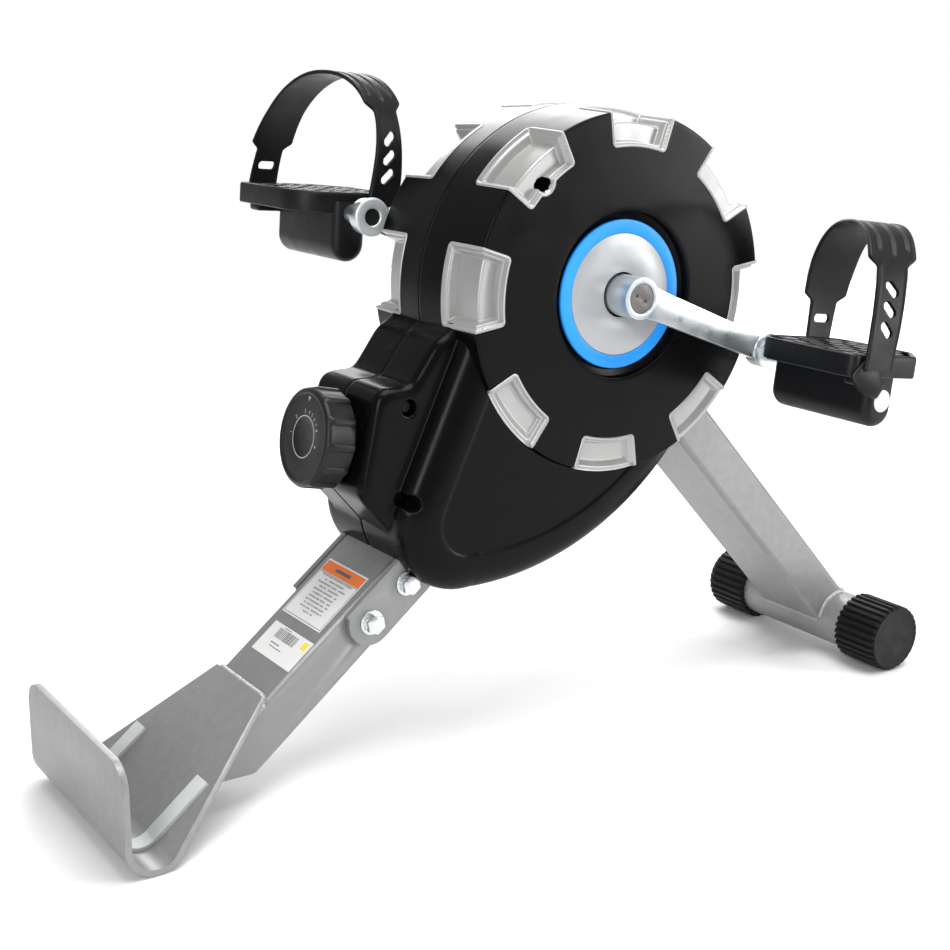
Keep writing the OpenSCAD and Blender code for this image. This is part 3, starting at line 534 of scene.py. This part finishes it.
def surface_nets(field, origin, step):
    """Quads of the zero surface of a field that is negative inside."""
    inside = field < 0
    nx, ny, nz = field.shape
    cells = np.zeros((nx - 1, ny - 1, nz - 1), np.int8)
    for dx in (0, 1):
        for dy in (0, 1):
            for dz in (0, 1):
                cells += inside[dx:nx - 1 + dx, dy:ny - 1 + dy, dz:nz - 1 + dz]
    active = np.argwhere((cells > 0) & (cells < 8))
    ids = np.full(cells.shape, -1, np.int64)
    ids[tuple(active.T)] = np.arange(len(active))
    total, count = np.zeros((len(active), 3)), np.zeros(len(active))
    corners = [(0, 0, 0), (1, 0, 0), (0, 1, 0), (1, 1, 0), (0, 0, 1), (1, 0, 1), (0, 1, 1), (1, 1, 1)]
    edges = [(0, 1), (2, 3), (4, 5), (6, 7), (0, 2), (1, 3), (4, 6), (5, 7), (0, 4), (1, 5), (2, 6), (3, 7)]
    value = {c: field[tuple((active + c).T)] for c in corners}
    for i, j in edges:
        p, q = corners[i], corners[j]
        a, b = value[p], value[q]
        hit = (a < 0) != (b < 0)
        t = np.where(hit, a / np.where(hit, a - b, 1), 0)[:, None]
        total += np.where(hit[:, None], np.array(p) + t * (np.array(q) - np.array(p)), 0)
        count += hit
    points = (active + total / count[:, None]) * step + origin
    quads = []
    for axis in range(3):
        u, v = [(1, 2), (2, 0), (0, 1)][axis]
        sl = [slice(None)] * 3
        sh = [slice(None)] * 3
        sl[axis], sh[axis] = slice(0, -1), slice(1, None)
        at = np.argwhere(inside[tuple(sl)] != inside[tuple(sh)])
        at = at[(at[:, u] > 0) & (at[:, v] > 0) & (at[:, u] < field.shape[u] - 1) & (at[:, v] < field.shape[v] - 1)]
        starts_in = inside[tuple(at.T)]
        eu, ev = np.eye(3, dtype=int)[u], np.eye(3, dtype=int)[v]
        q = np.stack([ids[tuple((at - eu - ev).T)], ids[tuple((at - ev).T)], ids[tuple(at.T)],
                      ids[tuple((at - eu).T)]], 1)
        q[~starts_in] = q[~starts_in][:, ::-1]
        quads.append(q)
    quads = np.vstack(quads)
    return points, quads[(quads >= 0).all(axis=1)]


def lower_cover(side, label, step):
    lo, hi = np.array([-236.0, -step, 143.0]), np.array([100.0, 74.0, 400.0])
    axes = [np.arange(lo[i], hi[i] + step, step) for i in range(3)]
    field = cover_field(*np.meshgrid(*axes, indexing="ij"), side, step)
    points, quads = surface_nets(field, lo, step)
    if side < 0:
        points = points * [1, -1, 1]
        quads = quads[:, ::-1]
    obj = piece(label + "_lower_cover", points, quads, MATERIALS["cover_plastic"], "frame", (),
                60)
    even = obj.modifiers.new("even", "SMOOTH")
    even.factor, even.iterations = 0.5, 3


for side, label in ((-1, "right"), (1, "left")):
    drum_shell(side, label)
    inset_panels(side, label)
    lower_cover(side, label, 1.25)


# ---------------------------------------------------------------- turned and swept shapes

def turned(profile, segments=128, offset=None):
    """Points and faces of a profile [(radius, height)] turned about z; offset(angle, k) adds to the radius."""
    t = np.linspace(0, 2 * np.pi, segments, endpoint=False)[:, None]
    r, h = (np.array(column, float)[None, :] + np.zeros((segments, 1)) for column in zip(*profile))
    if offset is not None:
        r = r + offset(t, np.arange(len(profile))[None, :])
    points = np.stack([r * np.cos(t), r * np.sin(t), h], -1).reshape(-1, 3)
    return points, grid_faces(segments, len(profile), close_u=True)


def box_points(lo, hi):
    x0, y0, z0 = lo
    x1, y1, z1 = hi
    p = [(x0, y0, z0), (x1, y0, z0), (x1, y1, z0), (x0, y1, z0), (x0, y0, z1), (x1, y0, z1), (x1, y1, z1),
         (x0, y1, z1)]
    f = [(3, 2, 1, 0), (4, 5, 6, 7), (0, 1, 5, 4), (1, 2, 6, 5), (2, 3, 7, 6), (3, 0, 4, 7)]
    return np.array(p, float), f


def placed(points, matrix):
    p = np.array(points, float)
    m = np.array(matrix)
    return p @ m[:3, :3].T + m[:3, 3]


def axes_matrix(origin, x, y, z):
    m = np.eye(4)
    m[:3, 0], m[:3, 1], m[:3, 2], m[:3, 3] = x, y, z, origin
    return m


def lofted(rows):
    """A closed solid through loops with the same number of points, its ends capped."""
    pts = np.array(rows, float)
    n, k = pts.shape[:2]
    faces = [tuple(f) for f in grid_faces(n, k, close_v=True)]
    return pts.reshape(-1, 3), faces + [tuple(range(k)), tuple(range((n - 1) * k, n * k))[::-1]]


def bead(name, path, radius):
    """A weld bead along a path: ripples every couple of millimetres."""
    path = np.array(path, float)
    seg = np.linalg.norm(np.diff(path, axis=0), axis=1)
    s = np.concatenate([[0], np.cumsum(seg)])
    fine = np.linspace(0, s[-1], max(int(s[-1] / 0.7), 4))
    p = np.stack([np.interp(fine, s, path[:, i]) for i in range(3)], 1)
    tangent = np.gradient(p, axis=0)
    tangent /= np.linalg.norm(tangent, axis=1)[:, None]
    up = np.array([0.13, 0.31, 0.94])
    a = np.cross(tangent, up)
    a /= np.linalg.norm(a, axis=1)[:, None]
    b = np.cross(tangent, a)
    t = np.linspace(0, 2 * np.pi, 14, endpoint=False)
    ripple = radius * (1 + 0.13 * np.abs(np.sin(fine * 1.3)) + 0.06 * RNG.standard_normal(len(fine)))
    ends = np.minimum(np.minimum(fine, fine[-1] - fine) / (radius * 1.2), 1)
    ripple = ripple * np.sqrt(np.clip(ends, 0.02, 1))
    points = p[:, None, :] + ripple[:, None, None] * (np.cos(t)[None, :, None] * a[:, None, :] +
                                                       np.sin(t)[None, :, None] * b[:, None, :])
    faces = grid_faces(len(p), len(t), close_v=True)
    piece(name, points.reshape(-1, 3), faces, WELD, "frame", (), 70)


# ---------------------------------------------------------------- end caps

FLUTES = 30


def end_cap(side, label):
    def ribs(t, k):
        deep = np.array([0.5, 0.8, 1, 1, 1, 1, 1, 1, 1, 0.95, 0.75, 0.45, 0.15, 0, 0, 0, 0, 0, 0])[k]
        wave = np.clip(np.cos(FLUTES * t) * 1.7 + 0.45, -1, 1)
        return deep * (wave - 1) * 1.1

    profile = [(27.2, 0.3), (30.4, 0), (31.2, 0.5), (31.4, 1.4), (31.5, 2.4), (31.5, 14), (31.5, 30), (31.5, 43),
               (31.4, 45.2), (31.0, 46.6), (30.4, 47.4), (29.7, 47.9), (29.2, 48.0), (28.9, 48.35), (28.2, 48.5),
               (27.2, 48.3), (26.4, 48.1), (12, 48.25), (0.02, 48.4)]
    points, faces = turned(profile, 480, ribs)
    cap = centre(label + "_end_cap")
    lo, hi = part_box(label + "_end_cap")
    inner = min(abs(lo[1]), abs(hi[1])) * 1000
    origin = (cap.x * 1000 - CX, side * inner, cap.z * 1000)
    m = axes_matrix(origin, (1, 0, 0), (0, 0, -side), (0, side, 0))
    piece(label + "_foot_cap", placed(points, m), faces, MATERIALS["end_cap_rubber"], "frame", [label + "_end_cap"],
          45)


end_cap(-1, "right")
end_cap(1, "left")

# ---------------------------------------------------------------- knob

TILT = math.radians(12)
# the knob's own frame: x to the right across its face, y up it, z out of it
KNOB_FRAME = axes_matrix((-253.0, 0, 277.0), (0, -1, 0), (math.sin(TILT), 0, math.cos(TILT)),
                         (-math.cos(TILT), 0, math.sin(TILT)))
GRIP_RIBS = 12
DIAL_ANGLES = (180, 140, 100, 80, 66, 52, 38, 24)
PLUS_ANGLE = math.radians(-12)


def knob():
    def ridge(t, k):
        on = np.array([0, 0.6, 1, 1, 1, 0.8, 0.35, 0, 0, 0, 0, 0, 0, 0, 0, 0, 0, 0])[k]
        d = np.abs((t * GRIP_RIBS / (2 * np.pi) + 0.5) % 1 - 0.5) / GRIP_RIBS * 360
        crest = np.clip(1 - (d / 5.2) ** 2, 0, 1) ** 0.5
        return on * (crest * 1.9 - 1.9)

    profile = [(36, -25), (39.2, -24.9), (40, -24.2), (40, -18), (40, -7), (39.8, -5.2), (39.2, -3.4),
               (38.0, -1.6), (36.6, -0.5), (35.2, 0), (33.9, -0.25), (33.2, -0.9), (32.8, -1.3), (16.2, -1.2),
               (15.8, -1.3), (15.3, -1.8), (10, -2.7), (0.02, -3.0)]
    points, faces = turned(profile, 480, ridge)
    piece("knob_grip", placed(points, KNOB_FRAME), faces, MATERIALS["knob_plastic"], "knob", ["tension_knob"],
          40)
    marks = [turned([(15.9, -1.15), (15.9, -1.05), (16.8, -1.05), (16.8, -1.15)], 96)]
    x, y = 20.3 * math.cos(PLUS_ANGLE), 20.3 * math.sin(PLUS_ANGLE)
    for w, h in ((1.3, 0.35), (0.35, 1.3)):
        marks.append(box_points((x - w, y - h, -1.2), (x + w, y + h, -1.05)))
    marks.append(([(-2.0, 31.4, -1.05), (2.0, 31.4, -1.05), (0, 27.6, -1.05)], [(0, 2, 1)]))
    p, f = joined(marks)
    piece("knob_ring_mark", placed(p, KNOB_FRAME), f, DIAL_INK, "knob", (), 30)
    for number, degrees in enumerate(DIAL_ANGLES, 1):
        t = math.radians(degrees)
        curve = bpy.data.curves.new(f"dial_{number}", "FONT")
        curve.body = str(number)
        curve.size = 0.0044
        curve.align_x, curve.align_y = "CENTER", "CENTER"
        curve.extrude = 0.00005
        text = linked(f"dial_number_{number}", curve)
        curve.materials.append(DIAL_INK)
        local = np.eye(4)
        c, s = math.cos(t - math.pi / 2), math.sin(t - math.pi / 2)
        local[:2, :2] = [[c, -s], [s, c]]
        local[:3, 3] = (19.9 * math.cos(t), 19.9 * math.sin(t), -1.1)
        world = KNOB_FRAME @ local
        world[:3, 3] = metres(world[:3, 3])[0]
        text.matrix_world = Matrix(world.tolist())
        bpy.context.view_layer.update()
        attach(text, "knob")


knob()

# ---------------------------------------------------------------- pedals

CRANK_LEN, CRANK_ANGLE = 149.5, -21.4
TIP = {-1: 7.0, 1: 4.0}
# Strap: middle and reach of its arch across the pedal, and how square the arch is
MID, REACH, POWER = 181.0, 58.1, 0.84
SLOT_PITCH = 15.6


def crank_eye_at(side, y=0.0):
    a = math.radians(CRANK_ANGLE if side < 0 else CRANK_ANGLE + 180)
    return CRANK_LEN * math.cos(a), y, CZ + CRANK_LEN * math.sin(a)


def pedal_matrix(side):
    tip = math.radians(TIP[side])
    return axes_matrix(crank_eye_at(side), (math.cos(tip), 0, -math.sin(tip)), (0, side, 0),
                       (math.sin(tip), 0, math.cos(tip)))


def strap_path(t):
    """Strap centre line (x, y, z) at angle t, from the inner leg at 0 to the outer one at pi."""
    c, s = np.cos(t), np.abs(np.sin(t))
    y = MID - 3 * s - 6 * np.maximum(0, np.sin(2 * t)) + 0.9 * np.maximum(0, -c) - \
        REACH * np.sign(c) * np.abs(c) ** POWER
    return 3 + 28 * c + 13 * s, y, 4 + 111 * s ** POWER


def foot_strap(side, label):
    # v is the length along the strap from the short leg's end, and w runs across it
    t = np.linspace(math.radians(0.6), math.radians(179.4), 4000)
    x, y, z = strap_path(t)
    s = np.concatenate([[0], np.cumsum(np.hypot(np.diff(y), np.diff(z)))])
    total = s[-1]
    long_is_outer = side < 0
    short_end, long_start = 42.0, total - 82.0
    first_slot = long_start + (20 if long_is_outer else 25)
    v, w = np.meshgrid(np.linspace(0, total, 430), np.linspace(-24, 24, 61), indexing="ij")

    def half(v):
        pad = smooth(v, short_end - 3, short_end + 5) * (1 - smooth(v, long_start - 7, long_start + 3))
        leg = 13.5 + 1.6 * smooth(v, long_start, total - 10)
        return leg + (21.5 - leg) * pad

    def sdf(v, w):
        d = np.abs(w) - half(v)
        for k in range(3):
            dv = v - (first_slot + k * SLOT_PITCH)
            along, cross = (w + dv) * math.sqrt(0.5), (dv - w) * math.sqrt(0.5)
            d = np.maximum(d, 3.6 - np.hypot(np.maximum(np.abs(along) - 4.0, 0), cross))
        return np.maximum(d, 3.4 - np.hypot(np.maximum(np.abs(w) - 5.0, 0), v - 26.0))

    keep = sdf(v, w) < 0.5225
    fv, fw = trimmed(v, w, sdf)
    fv = np.clip(fv, 0, total)
    # grooves along the pad, and ridges by the short leg's slot
    groove = np.zeros_like(fv)
    for g, ends in ((-13, 5), (0, 0), (13, 5)):
        inside = smooth(fv, short_end + 8 + ends, short_end + 16 + ends) * \
            (1 - smooth(fv, long_start - 11 - ends, long_start - 5 - ends))
        groove += inside * np.exp(-((fw - g) / 1.45) ** 2) * 1.9
    crown = 0.5 * (1 - (fw / 22) ** 2)
    ridges = sum(0.6 * np.exp(-((fv - at) / 1.2) ** 2) for at in (12.5, 16.5, 35.5, 39.5))
    rim = 0.5 * np.exp(-((-(np.abs(fw) - half(fv)) - 1.6) / 1.1) ** 2)
    tt = np.interp(fv if long_is_outer else total - fv, s, t)
    x, y, z = strap_path(tt)
    e = 1e-3
    _, y1, z1 = strap_path(tt + e)
    _, y0, z0 = strap_path(tt - e)
    ny, nz = -(z1 - z0), (y1 - y0)
    length = np.hypot(ny, nz)
    ny, nz = ny / length, nz / length
    edge = np.clip((half(fv) - np.abs(fw)) / 1.2, 0, 1)
    thick = 1.5 * np.sqrt(np.clip(1 - (1 - edge) ** 2, 0.08, 1))
    top = thick + (crown - groove + rim + ridges) * edge
    under = -thick + (crown * 0.6) * edge
    flip = 1 if long_is_outer else -1
    # the band twists a little as it rises
    twist = np.radians(15) * np.clip((z - 16) / 64, 0, 1)
    wx, wy = flip * fw * np.cos(twist), flip * fw * np.sin(twist)
    outer = np.stack([x + wx, y + wy + ny * top, z + nz * top], -1)
    inner = np.stack([x + wx, y + wy + ny * under, z + nz * under], -1)
    quads = grid_faces(*v.shape)
    quads = quads[keep.ravel()[quads].all(axis=1)]
    shift = v.size
    # edges of one quad only are the strap's border
    edges = {}
    for q in quads.tolist():
        for a, b in zip(q, q[1:] + q[:1]):
            if edges.pop((b, a), None) is None:
                edges[(a, b)] = True
    walls = np.array([(b, a, a + shift, b + shift) for a, b in edges])
    faces = np.vstack([quads, quads[:, ::-1] + shift, walls])
    points = np.vstack([outer.reshape(-1, 3), inner.reshape(-1, 3)])
    points, faces = compact(points, faces)
    points = placed(points, pedal_matrix(side))
    normals_out(piece(label + "_strap", points, faces, MATERIALS["strap_rubber"], label + "_pedal",
                      [label + "_foot_strap"], 48))


# Corners of a platform: (x, y, radius, first angle, last angle); rows of its tread: (x, width)
PLATFORM = [(26, 149, 24, -90, 0), (42, 206, 8, 0, 45), (19, 229, 8, 45, 90), (-43, 230, 7, 90, 180),
            (-20, 155, 30, 180, 270)]
TREAD = [(-39, 8), (-28, 10), (-16, 8), (-4, 8), (8, 8), (20, 10), (32, 9), (41, 5)]


def platform_ring(d, n=9):
    loop = []
    for x, y, r, a0, a1 in PLATFORM:
        for k in range(n + 1):
            a = math.radians(a0 + (a1 - a0) * k / n)
            loop.append((x + (r - d) * math.cos(a), y + (r - d) * math.sin(a)))
    return loop


def reach_at(x):
    """Where the platform's tread starts and ends along y, at a place x."""
    loop = platform_ring(6.2)
    hits = []
    for (x0, y0), (x1, y1) in zip(loop, loop[1:] + loop[:1]):
        if (x0 > x) != (x1 > x):
            hits.append(y0 + (x - x0) * (y1 - y0) / (x1 - x0))
    return (min(hits), max(hits)) if len(hits) > 1 else (0, 0)


def stacked(levels):
    """A closed solid from outlines with the same number of points: [(points, z)]."""
    n = len(levels[0][0])
    points = [(*p, z) for loop, z in levels for p in loop]
    faces = [tuple(range(n))[::-1]]
    for k in range(len(levels) - 1):
        for i in range(n):
            j = (i + 1) % n
            faces.append((k * n + i, k * n + j, (k + 1) * n + j, (k + 1) * n + i))
    faces.append(tuple((len(levels) - 1) * n + i for i in range(n)))
    return np.array(points, float), faces


def pedal(side, label):
    m = pedal_matrix(side)
    body = label + "_pedal"
    # rim wall, then the sunken tread floor
    levels = [(2.2, 0.2), (0.8, 0.0), (0.2, 0.6), (0, 2), (0, 14.4), (0.4, 16.4), (1.2, 17.2), (2.2, 17.4),
              (3.2, 17.2), (3.9, 16.4), (4.2, 13.4)]
    parts = [stacked([(platform_ring(d), z) for d, z in levels])]
    # tread blocks in rows across the platform
    for i, (x, w) in enumerate(TREAD):
        ends = [reach_at(x - w / 2), reach_at(x + w / 2)]
        low, high = max(e[0] for e in ends) + 1, min(e[1] for e in ends) - 1
        n = max(round((high - low) / 16), 2)
        for j in range(n):
            y0 = low + (high - low) * j / n + 1.1
            y1 = low + (high - low) * (j + 1) / n - 1.1
            skew = 1.2 if (i + j) % 2 else -1.2
            lo = [(x - w / 2, y0), (x + w / 2, y0 + skew), (x + w / 2, y1 + skew), (x - w / 2, y1)]
            hi = [(a * 0.8 + x * 0.2, b * 0.88 + (y0 + y1) / 2 * 0.12) for a, b in lo]
            parts.append(stacked([(lo, 13.2), (lo, 15.8), (hi, 17.3 if (i + j) % 2 else 16.8)]))
    p, f = joined(parts)
    normals_out(piece(label + "_tread", placed(p, m), f, MATERIALS["pedal_plastic"], body,
                      [label + "_pedal_platform"], 35))
    # skirt tab under the outer end
    p, f = box_points((-38, 219, -6.8), (-13, 236.4, 0.4))
    normals_out(piece(label + "_catch", placed(p, m), f, MATERIALS["pedal_plastic"], body, (),
                      35), 2.4)
    if side < 0:
        strap_tail(label, m)


def strap_tail(label, m):
    """The long leg's free end, below the platform: it curls outward and ends round."""
    rows = []
    for u in np.linspace(0, 1, 22):
        mid = np.array((-25 - 24 * u, 240.2 + 8.5 * u ** 1.5, 6 - 18 * u + 4 * u * u))
        slope = np.array((-24, 12.7 * u ** 0.5, -18 + 8 * u))
        slope /= np.linalg.norm(slope)
        wide = np.array((1, 0, 0)) - slope * slope[0]
        wide /= np.linalg.norm(wide)
        out = np.cross(wide, slope)
        h = 14 * math.sqrt(max(1 - max(u - 0.7, 0) ** 2 / 0.095, 0.12)) * (1 - 0.1 * u)
        loop = []
        for k in np.linspace(0, 2 * math.pi, 28, endpoint=False):
            c, q = math.cos(k), math.sin(k)
            loop.append(mid + wide * h * np.sign(c) * abs(c) ** 0.25 + out * 1.45 * np.sign(q) * abs(q) ** 0.6)
        rows.append(loop)
    points, faces = lofted(rows)
    normals_out(piece(label + "_strap_tail", placed(points, m), faces, MATERIALS["strap_rubber"],
                      label + "_pedal", (), 60))


def block(side, label):
    """The counterweight block under a pedal: round keel, soft ends."""
    m = pedal_matrix(side)
    y0, y1, half, drop, soft = 120.5, 226.7, 15.2, 41.0, 7.0
    rows = []
    ends = [(soft * (1 - math.cos(a)), math.sin(a)) for a in np.linspace(0.15, math.pi / 2, 7)]
    stations = [(y0 + d, k) for d, k in ends] + [(y1 - d, k) for d, k in ends][::-1]
    for y, k in stations:
        inset = soft * (1 - k)
        h, b = half - inset, drop - inset
        loop = [(h, y, 9.6), (h, y, 0), (h, y, -b + half)]
        for a in np.linspace(0, math.pi, 25)[1:-1]:
            loop.append((h * math.cos(a), y, -drop + half - (half - inset) * math.sin(a)))
        loop += [(-h, y, -b + half), (-h, y, 0), (-h, y, 9.6)]
        rows.append(loop)
    points, faces = lofted(rows)
    normals_out(piece(label + "_weight_housing", placed(points, m), faces, MATERIALS["pedal_plastic"],
                      label + "_pedal", [label + "_pedal_block"], 40))
    if side < 0:
        points, faces = turned([(0.02, 0), (8.6, 0), (8.8, -0.1), (8.8, -0.3)], 64)
        on_end = axes_matrix((1.5, y1 + 0.15, -19.5), (1, 0, 0), (0, 0, 1), (0, 1, 0))
        normals_out(piece(label + "_sticker", placed(placed(points, on_end), m), faces, STICKER,
                          label + "_pedal", (), 40))


def crank_eye():
    """The left crank's eye from inside: a turned rim round the hole of the pedal thread, whose thread and floor are
    coloured near black as painted shade of the hole.
    """
    m = axes_matrix(crank_eye_at(1, 85.3), (1, 0, 0), (0, 0, -1), (0, 1, 0))
    rim = [(14.9, 3.0), (15.8, 2.0), (16.0, 0.8), (15.8, 0.0), (15.1, -0.6), (13.8, -0.9), (8.6, -0.9),
           (7.8, -0.7), (7.2, -0.1), (7.05, 0.8), (7.0, 2.2)]
    thread = [(7.02, 0.2), (6.5, 0.45), (7.0, 0.7), (6.5, 0.95), (7.0, 1.2), (6.5, 1.45), (6.9, 1.7),
              (6.2, 1.9), (3.0, 1.95), (0.02, 1.95)]
    for name, profile, segments, material, slot in (("rim", rim, 96, EYE_ZINC, "crank_zinc"),
                                                    ("thread", thread, 64, PAINTED_HOLE_SHADE, "black_screw")):
        points, faces = turned(profile, segments)
        normals_out(piece("crank_eye_" + name, placed(points, m), faces, material, "crank", (), 35))


crank_eye()
for side, label in ((-1, "right"), (1, "left")):
    pedal(side, label)
    block(side, label)
    foot_strap(side, label)

# ---------------------------------------------------------------- leg details

SLOPE = math.radians(39)
LEG_X = np.array((math.cos(SLOPE), 0, math.sin(SLOPE)))
LEG_Z = np.array((-math.sin(SLOPE), 0, math.cos(SLOPE)))
# the front leg's top face: x up the leg, y across, z above the face
LEG = axes_matrix(LEG_Z * 261.0, LEG_X, (0, 1, 0), LEG_Z)


def plates(name, rects, z0, z1, material):
    p, f = joined([box_points((x0, y0, z0), (x1, y1, z1)) for x0, x1, y0, y1 in rects])
    piece(name, placed(p, LEG), f, material, "frame", (), 30)


# lines of marks stand in for the upper label's text, and bars for the lower label's
rows = []
for k in range(11):
    x = -76.5 - k * 3.5
    trim = 2 + 9 * abs(math.sin(k * 1.7)) * (1 if k < 9 else 1.8)
    cuts = np.sort(RNG.uniform(-26 + trim, 26 - trim, 5))
    marks = np.concatenate([[-26 + trim], cuts, [26 - trim]])
    for a, b in zip(marks[:-1], marks[1:]):
        if b - a > 2.2:
            rows.append((x - 0.75, x + 0.75, a + 0.5, b - 0.5))
plates("label_lines", rows, 0.25, 0.36, PALE_INK)
plates("label_header", [(-74.2, -64.2, -29.4, 29.4)], 0.25, 0.37, ORANGE)
plates("label_header_mark", [(-70.6, -67.8, -11, 12)], 0.36, 0.40, INK)
plates("label_border", [(-118.6, -118.1, -29.8, 29.8), (-75.3, -74.8, -29.8, 29.8),
                        (-118.6, -64, -29.8, -29.3), (-118.6, -64, 29.3, 29.8)], 0.25, 0.35, INK)
bars, y = [], 14.0
while y > -18:
    w = float(RNG.choice([0.5, 0.9, 1.4]))
    bars.append((-141.5, -132.5, y - w, y))
    y -= w + float(RNG.choice([0.6, 1.0]))
bars += [(-146.5, -145.6, -2, 12), (-149.5, -148.8, -9, 10), (-131.6, -131.0, -2, 9)]
plates("label_bars", bars, 0.25, 0.36, INK)
plates("label_yellow", [(-139, -132, -33, -26)], 0.25, 0.37, YELLOW)

bead("weld_hook_top", placed([(-186.0, y, 1.5) for y in np.linspace(-39, 39, 30)], LEG), 3.1)
for s, tag in ((-1, "right"), (1, "left")):
    bead("weld_hook_" + tag, placed([(x, s * 40.3, -0.6) for x in np.linspace(-188, -206, 10)], LEG), 2.4)

STAB, STAB_R = np.array((313.0, 0, 31.5)), 26.3
# distance of the rear leg's middle plane from the point on the floor below the crank
REAR_OFF = 252.4
REAR = math.radians(47)
REAR_X = np.array((math.cos(REAR), 0, -math.sin(REAR)))
REAR_Z = np.array((math.sin(REAR), 0, math.cos(REAR)))


def on_stabiliser(off, y):
    """Where the rear leg's line at this offset meets the round tube."""
    centre_line = STAB - REAR_Z * off
    hit = centre_line @ REAR_X - math.sqrt(max(STAB_R ** 2 - (centre_line @ REAR_Z) ** 2, 0))
    return REAR_Z * off + REAR_X * hit + np.array((0, y, 0))


for s, tag in ((-1, "right"), (1, "left")):
    bead("weld_stabiliser_" + tag,
         [on_stabiliser(off, s * 40.2) for off in np.linspace(REAR_OFF - 19, REAR_OFF + 19, 26)], 2.3)
for off, tag in ((REAR_OFF + 20, "top"), (REAR_OFF - 20, "under")):
    bead("weld_stabiliser_" + tag, [on_stabiliser(off, y) for y in np.linspace(-39, 39, 30)], 2.2)

# ---------------------------------------------------------------- CAD nodes: rounded copies or new finishes

# node, width of the rounding, segments
ROUNDED = [("hook_plate", 0.9, 3), ("hook_strips", 0.5, 2), ("leg_bolts", 0.5, 2), ("leg_washers", 0.25, 2),
           ("leg_nuts", 0.4, 2)]
for name, width, segments in (("side_plate", 0.5, 2), ("crank_arm", 1.3, 3), ("dust_cap", 0.3, 2),
                              ("hub_disc", 0.4, 2), ("trim_ring", 0.3, 2)):
    ROUNDED += [(tag + name, width, segments) for tag in ("right_", "left_")]
for name, width, segments in ROUNDED + [("front_leg", 0.3, 1)]:
    refined(name, width, segments)
for name, obj in frame["nodes"].items():
    obj.data.materials.clear()
    obj.data.materials.append(MATERIALS[SLOT_OF[name]])

# ---------------------------------------------------------------- floor, light and camera

def studio():
    """A pale floor that sweeps up behind the object, square to the camera's heading."""
    start, bend = 3.2, 1.6
    profile = [(-6.0, 0.0), (start, 0.0)] + [(start + bend * math.sin(a), bend - bend * math.cos(a))
                                             for a in np.linspace(0, math.pi / 2, 40)[1:]] + [(start + bend, 6.0)]
    heading = math.radians(34.1)
    fwd = Vector((math.sin(heading), math.cos(heading), 0))
    right = Vector((math.cos(heading), -math.sin(heading), 0))
    points, faces = [], []
    for d, h in profile:
        for s in (-7, 7):
            points.append(tuple(fwd * d + right * s + Vector((0, 0, h - 0.0004))))
    for k in range(len(profile) - 1):
        faces.append((2 * k, 2 * k + 1, 2 * k + 3, 2 * k + 2))
    mesh = bpy.data.meshes.new("studio_sweep")
    mesh.from_pydata(points, [], faces)
    mesh.materials.append(finish_material("mat_floor", (0.86, 0.86, 0.865), (0.55, 0.7), 0, (300, 0.02), 0.01, 3))
    shade(mesh, 60)
    linked("studio_sweep", mesh)


def surround(radius):
    """A plain white backdrop all round, which the camera sees and the light ignores."""
    mat = bpy.data.materials.new("mat_surround")
    mat.use_nodes = True
    tree = mat.node_tree
    tree.nodes.clear()
    glow = node(tree, "ShaderNodeEmission", 0, 0)
    set_inputs(glow, Color=(1, 1, 1, 1), Strength=1.0)
    tree.links.new(glow.outputs[0], node(tree, "ShaderNodeOutputMaterial", 200, 0).inputs["Surface"])
    mesh = bpy.data.meshes.new("studio_surround")
    bm = bmesh.new()
    bmesh.ops.create_uvsphere(bm, u_segments=96, v_segments=48, radius=radius)
    bm.to_mesh(mesh)
    bm.free()
    mesh.materials.append(mat)
    shell = linked("studio_surround", mesh)
    for ray in ("diffuse", "glossy", "transmission", "volume_scatter", "shadow"):
        setattr(shell, "visible_" + ray, False)


def area_light(name, place, target, size, power, size_y=None):
    data = bpy.data.lights.new(name, "AREA")
    data.shape = "RECTANGLE"
    data.size, data.size_y, data.energy = size, size_y or size, power
    obj = linked(name, data)
    obj.location = place
    obj.rotation_euler = (Vector(target) - Vector(place)).to_track_quat("-Z", "Y").to_euler()


studio()
surround(3.0)
AIM = (0.0, 0.0, 0.28)
area_light("key_top", (0.15, -0.35, 2.5), AIM, 1.8, 58)
area_light("front_left", (-2.1, -1.6, 1.35), AIM, 0.6, 36, size_y=1.9)
area_light("right_strip", (2.1, -2.0, 1.0), AIM, 0.5, 45, size_y=1.7)
area_light("back_rim", (0.9, 1.9, 1.7), AIM, 1.4, 24)
area_light("backdrop", (1.2, 2.2, 2.6), (2.6, 3.8, 0.6), 2.6, 150)

world = bpy.data.worlds.new("soft_room")
world.use_nodes = True
set_inputs(world.node_tree.nodes["Background"], Color=(0.93, 0.94, 0.95, 1), Strength=0.42)
bpy.context.scene.world = world
bpy.context.scene.view_settings.view_transform = "Standard"

camera_data = bpy.data.cameras.new("camera")
camera_data.lens, camera_data.sensor_width = 59.6, 36
camera_data.clip_start, camera_data.clip_end = 0.05, 50
camera = linked("camera", camera_data)
right = Vector((0.82950, -0.55842, 0.00959))
up = Vector((0.13626, 0.21899, 0.96616))
back = -Vector((0.54163, 0.80013, -0.25775))
look = Matrix((right, up, back)).transposed().to_4x4()
look.translation = Vector(metres((-800.8, -1046.7, 560.9))[0])
camera.matrix_world = look
bpy.context.scene.camera = camera
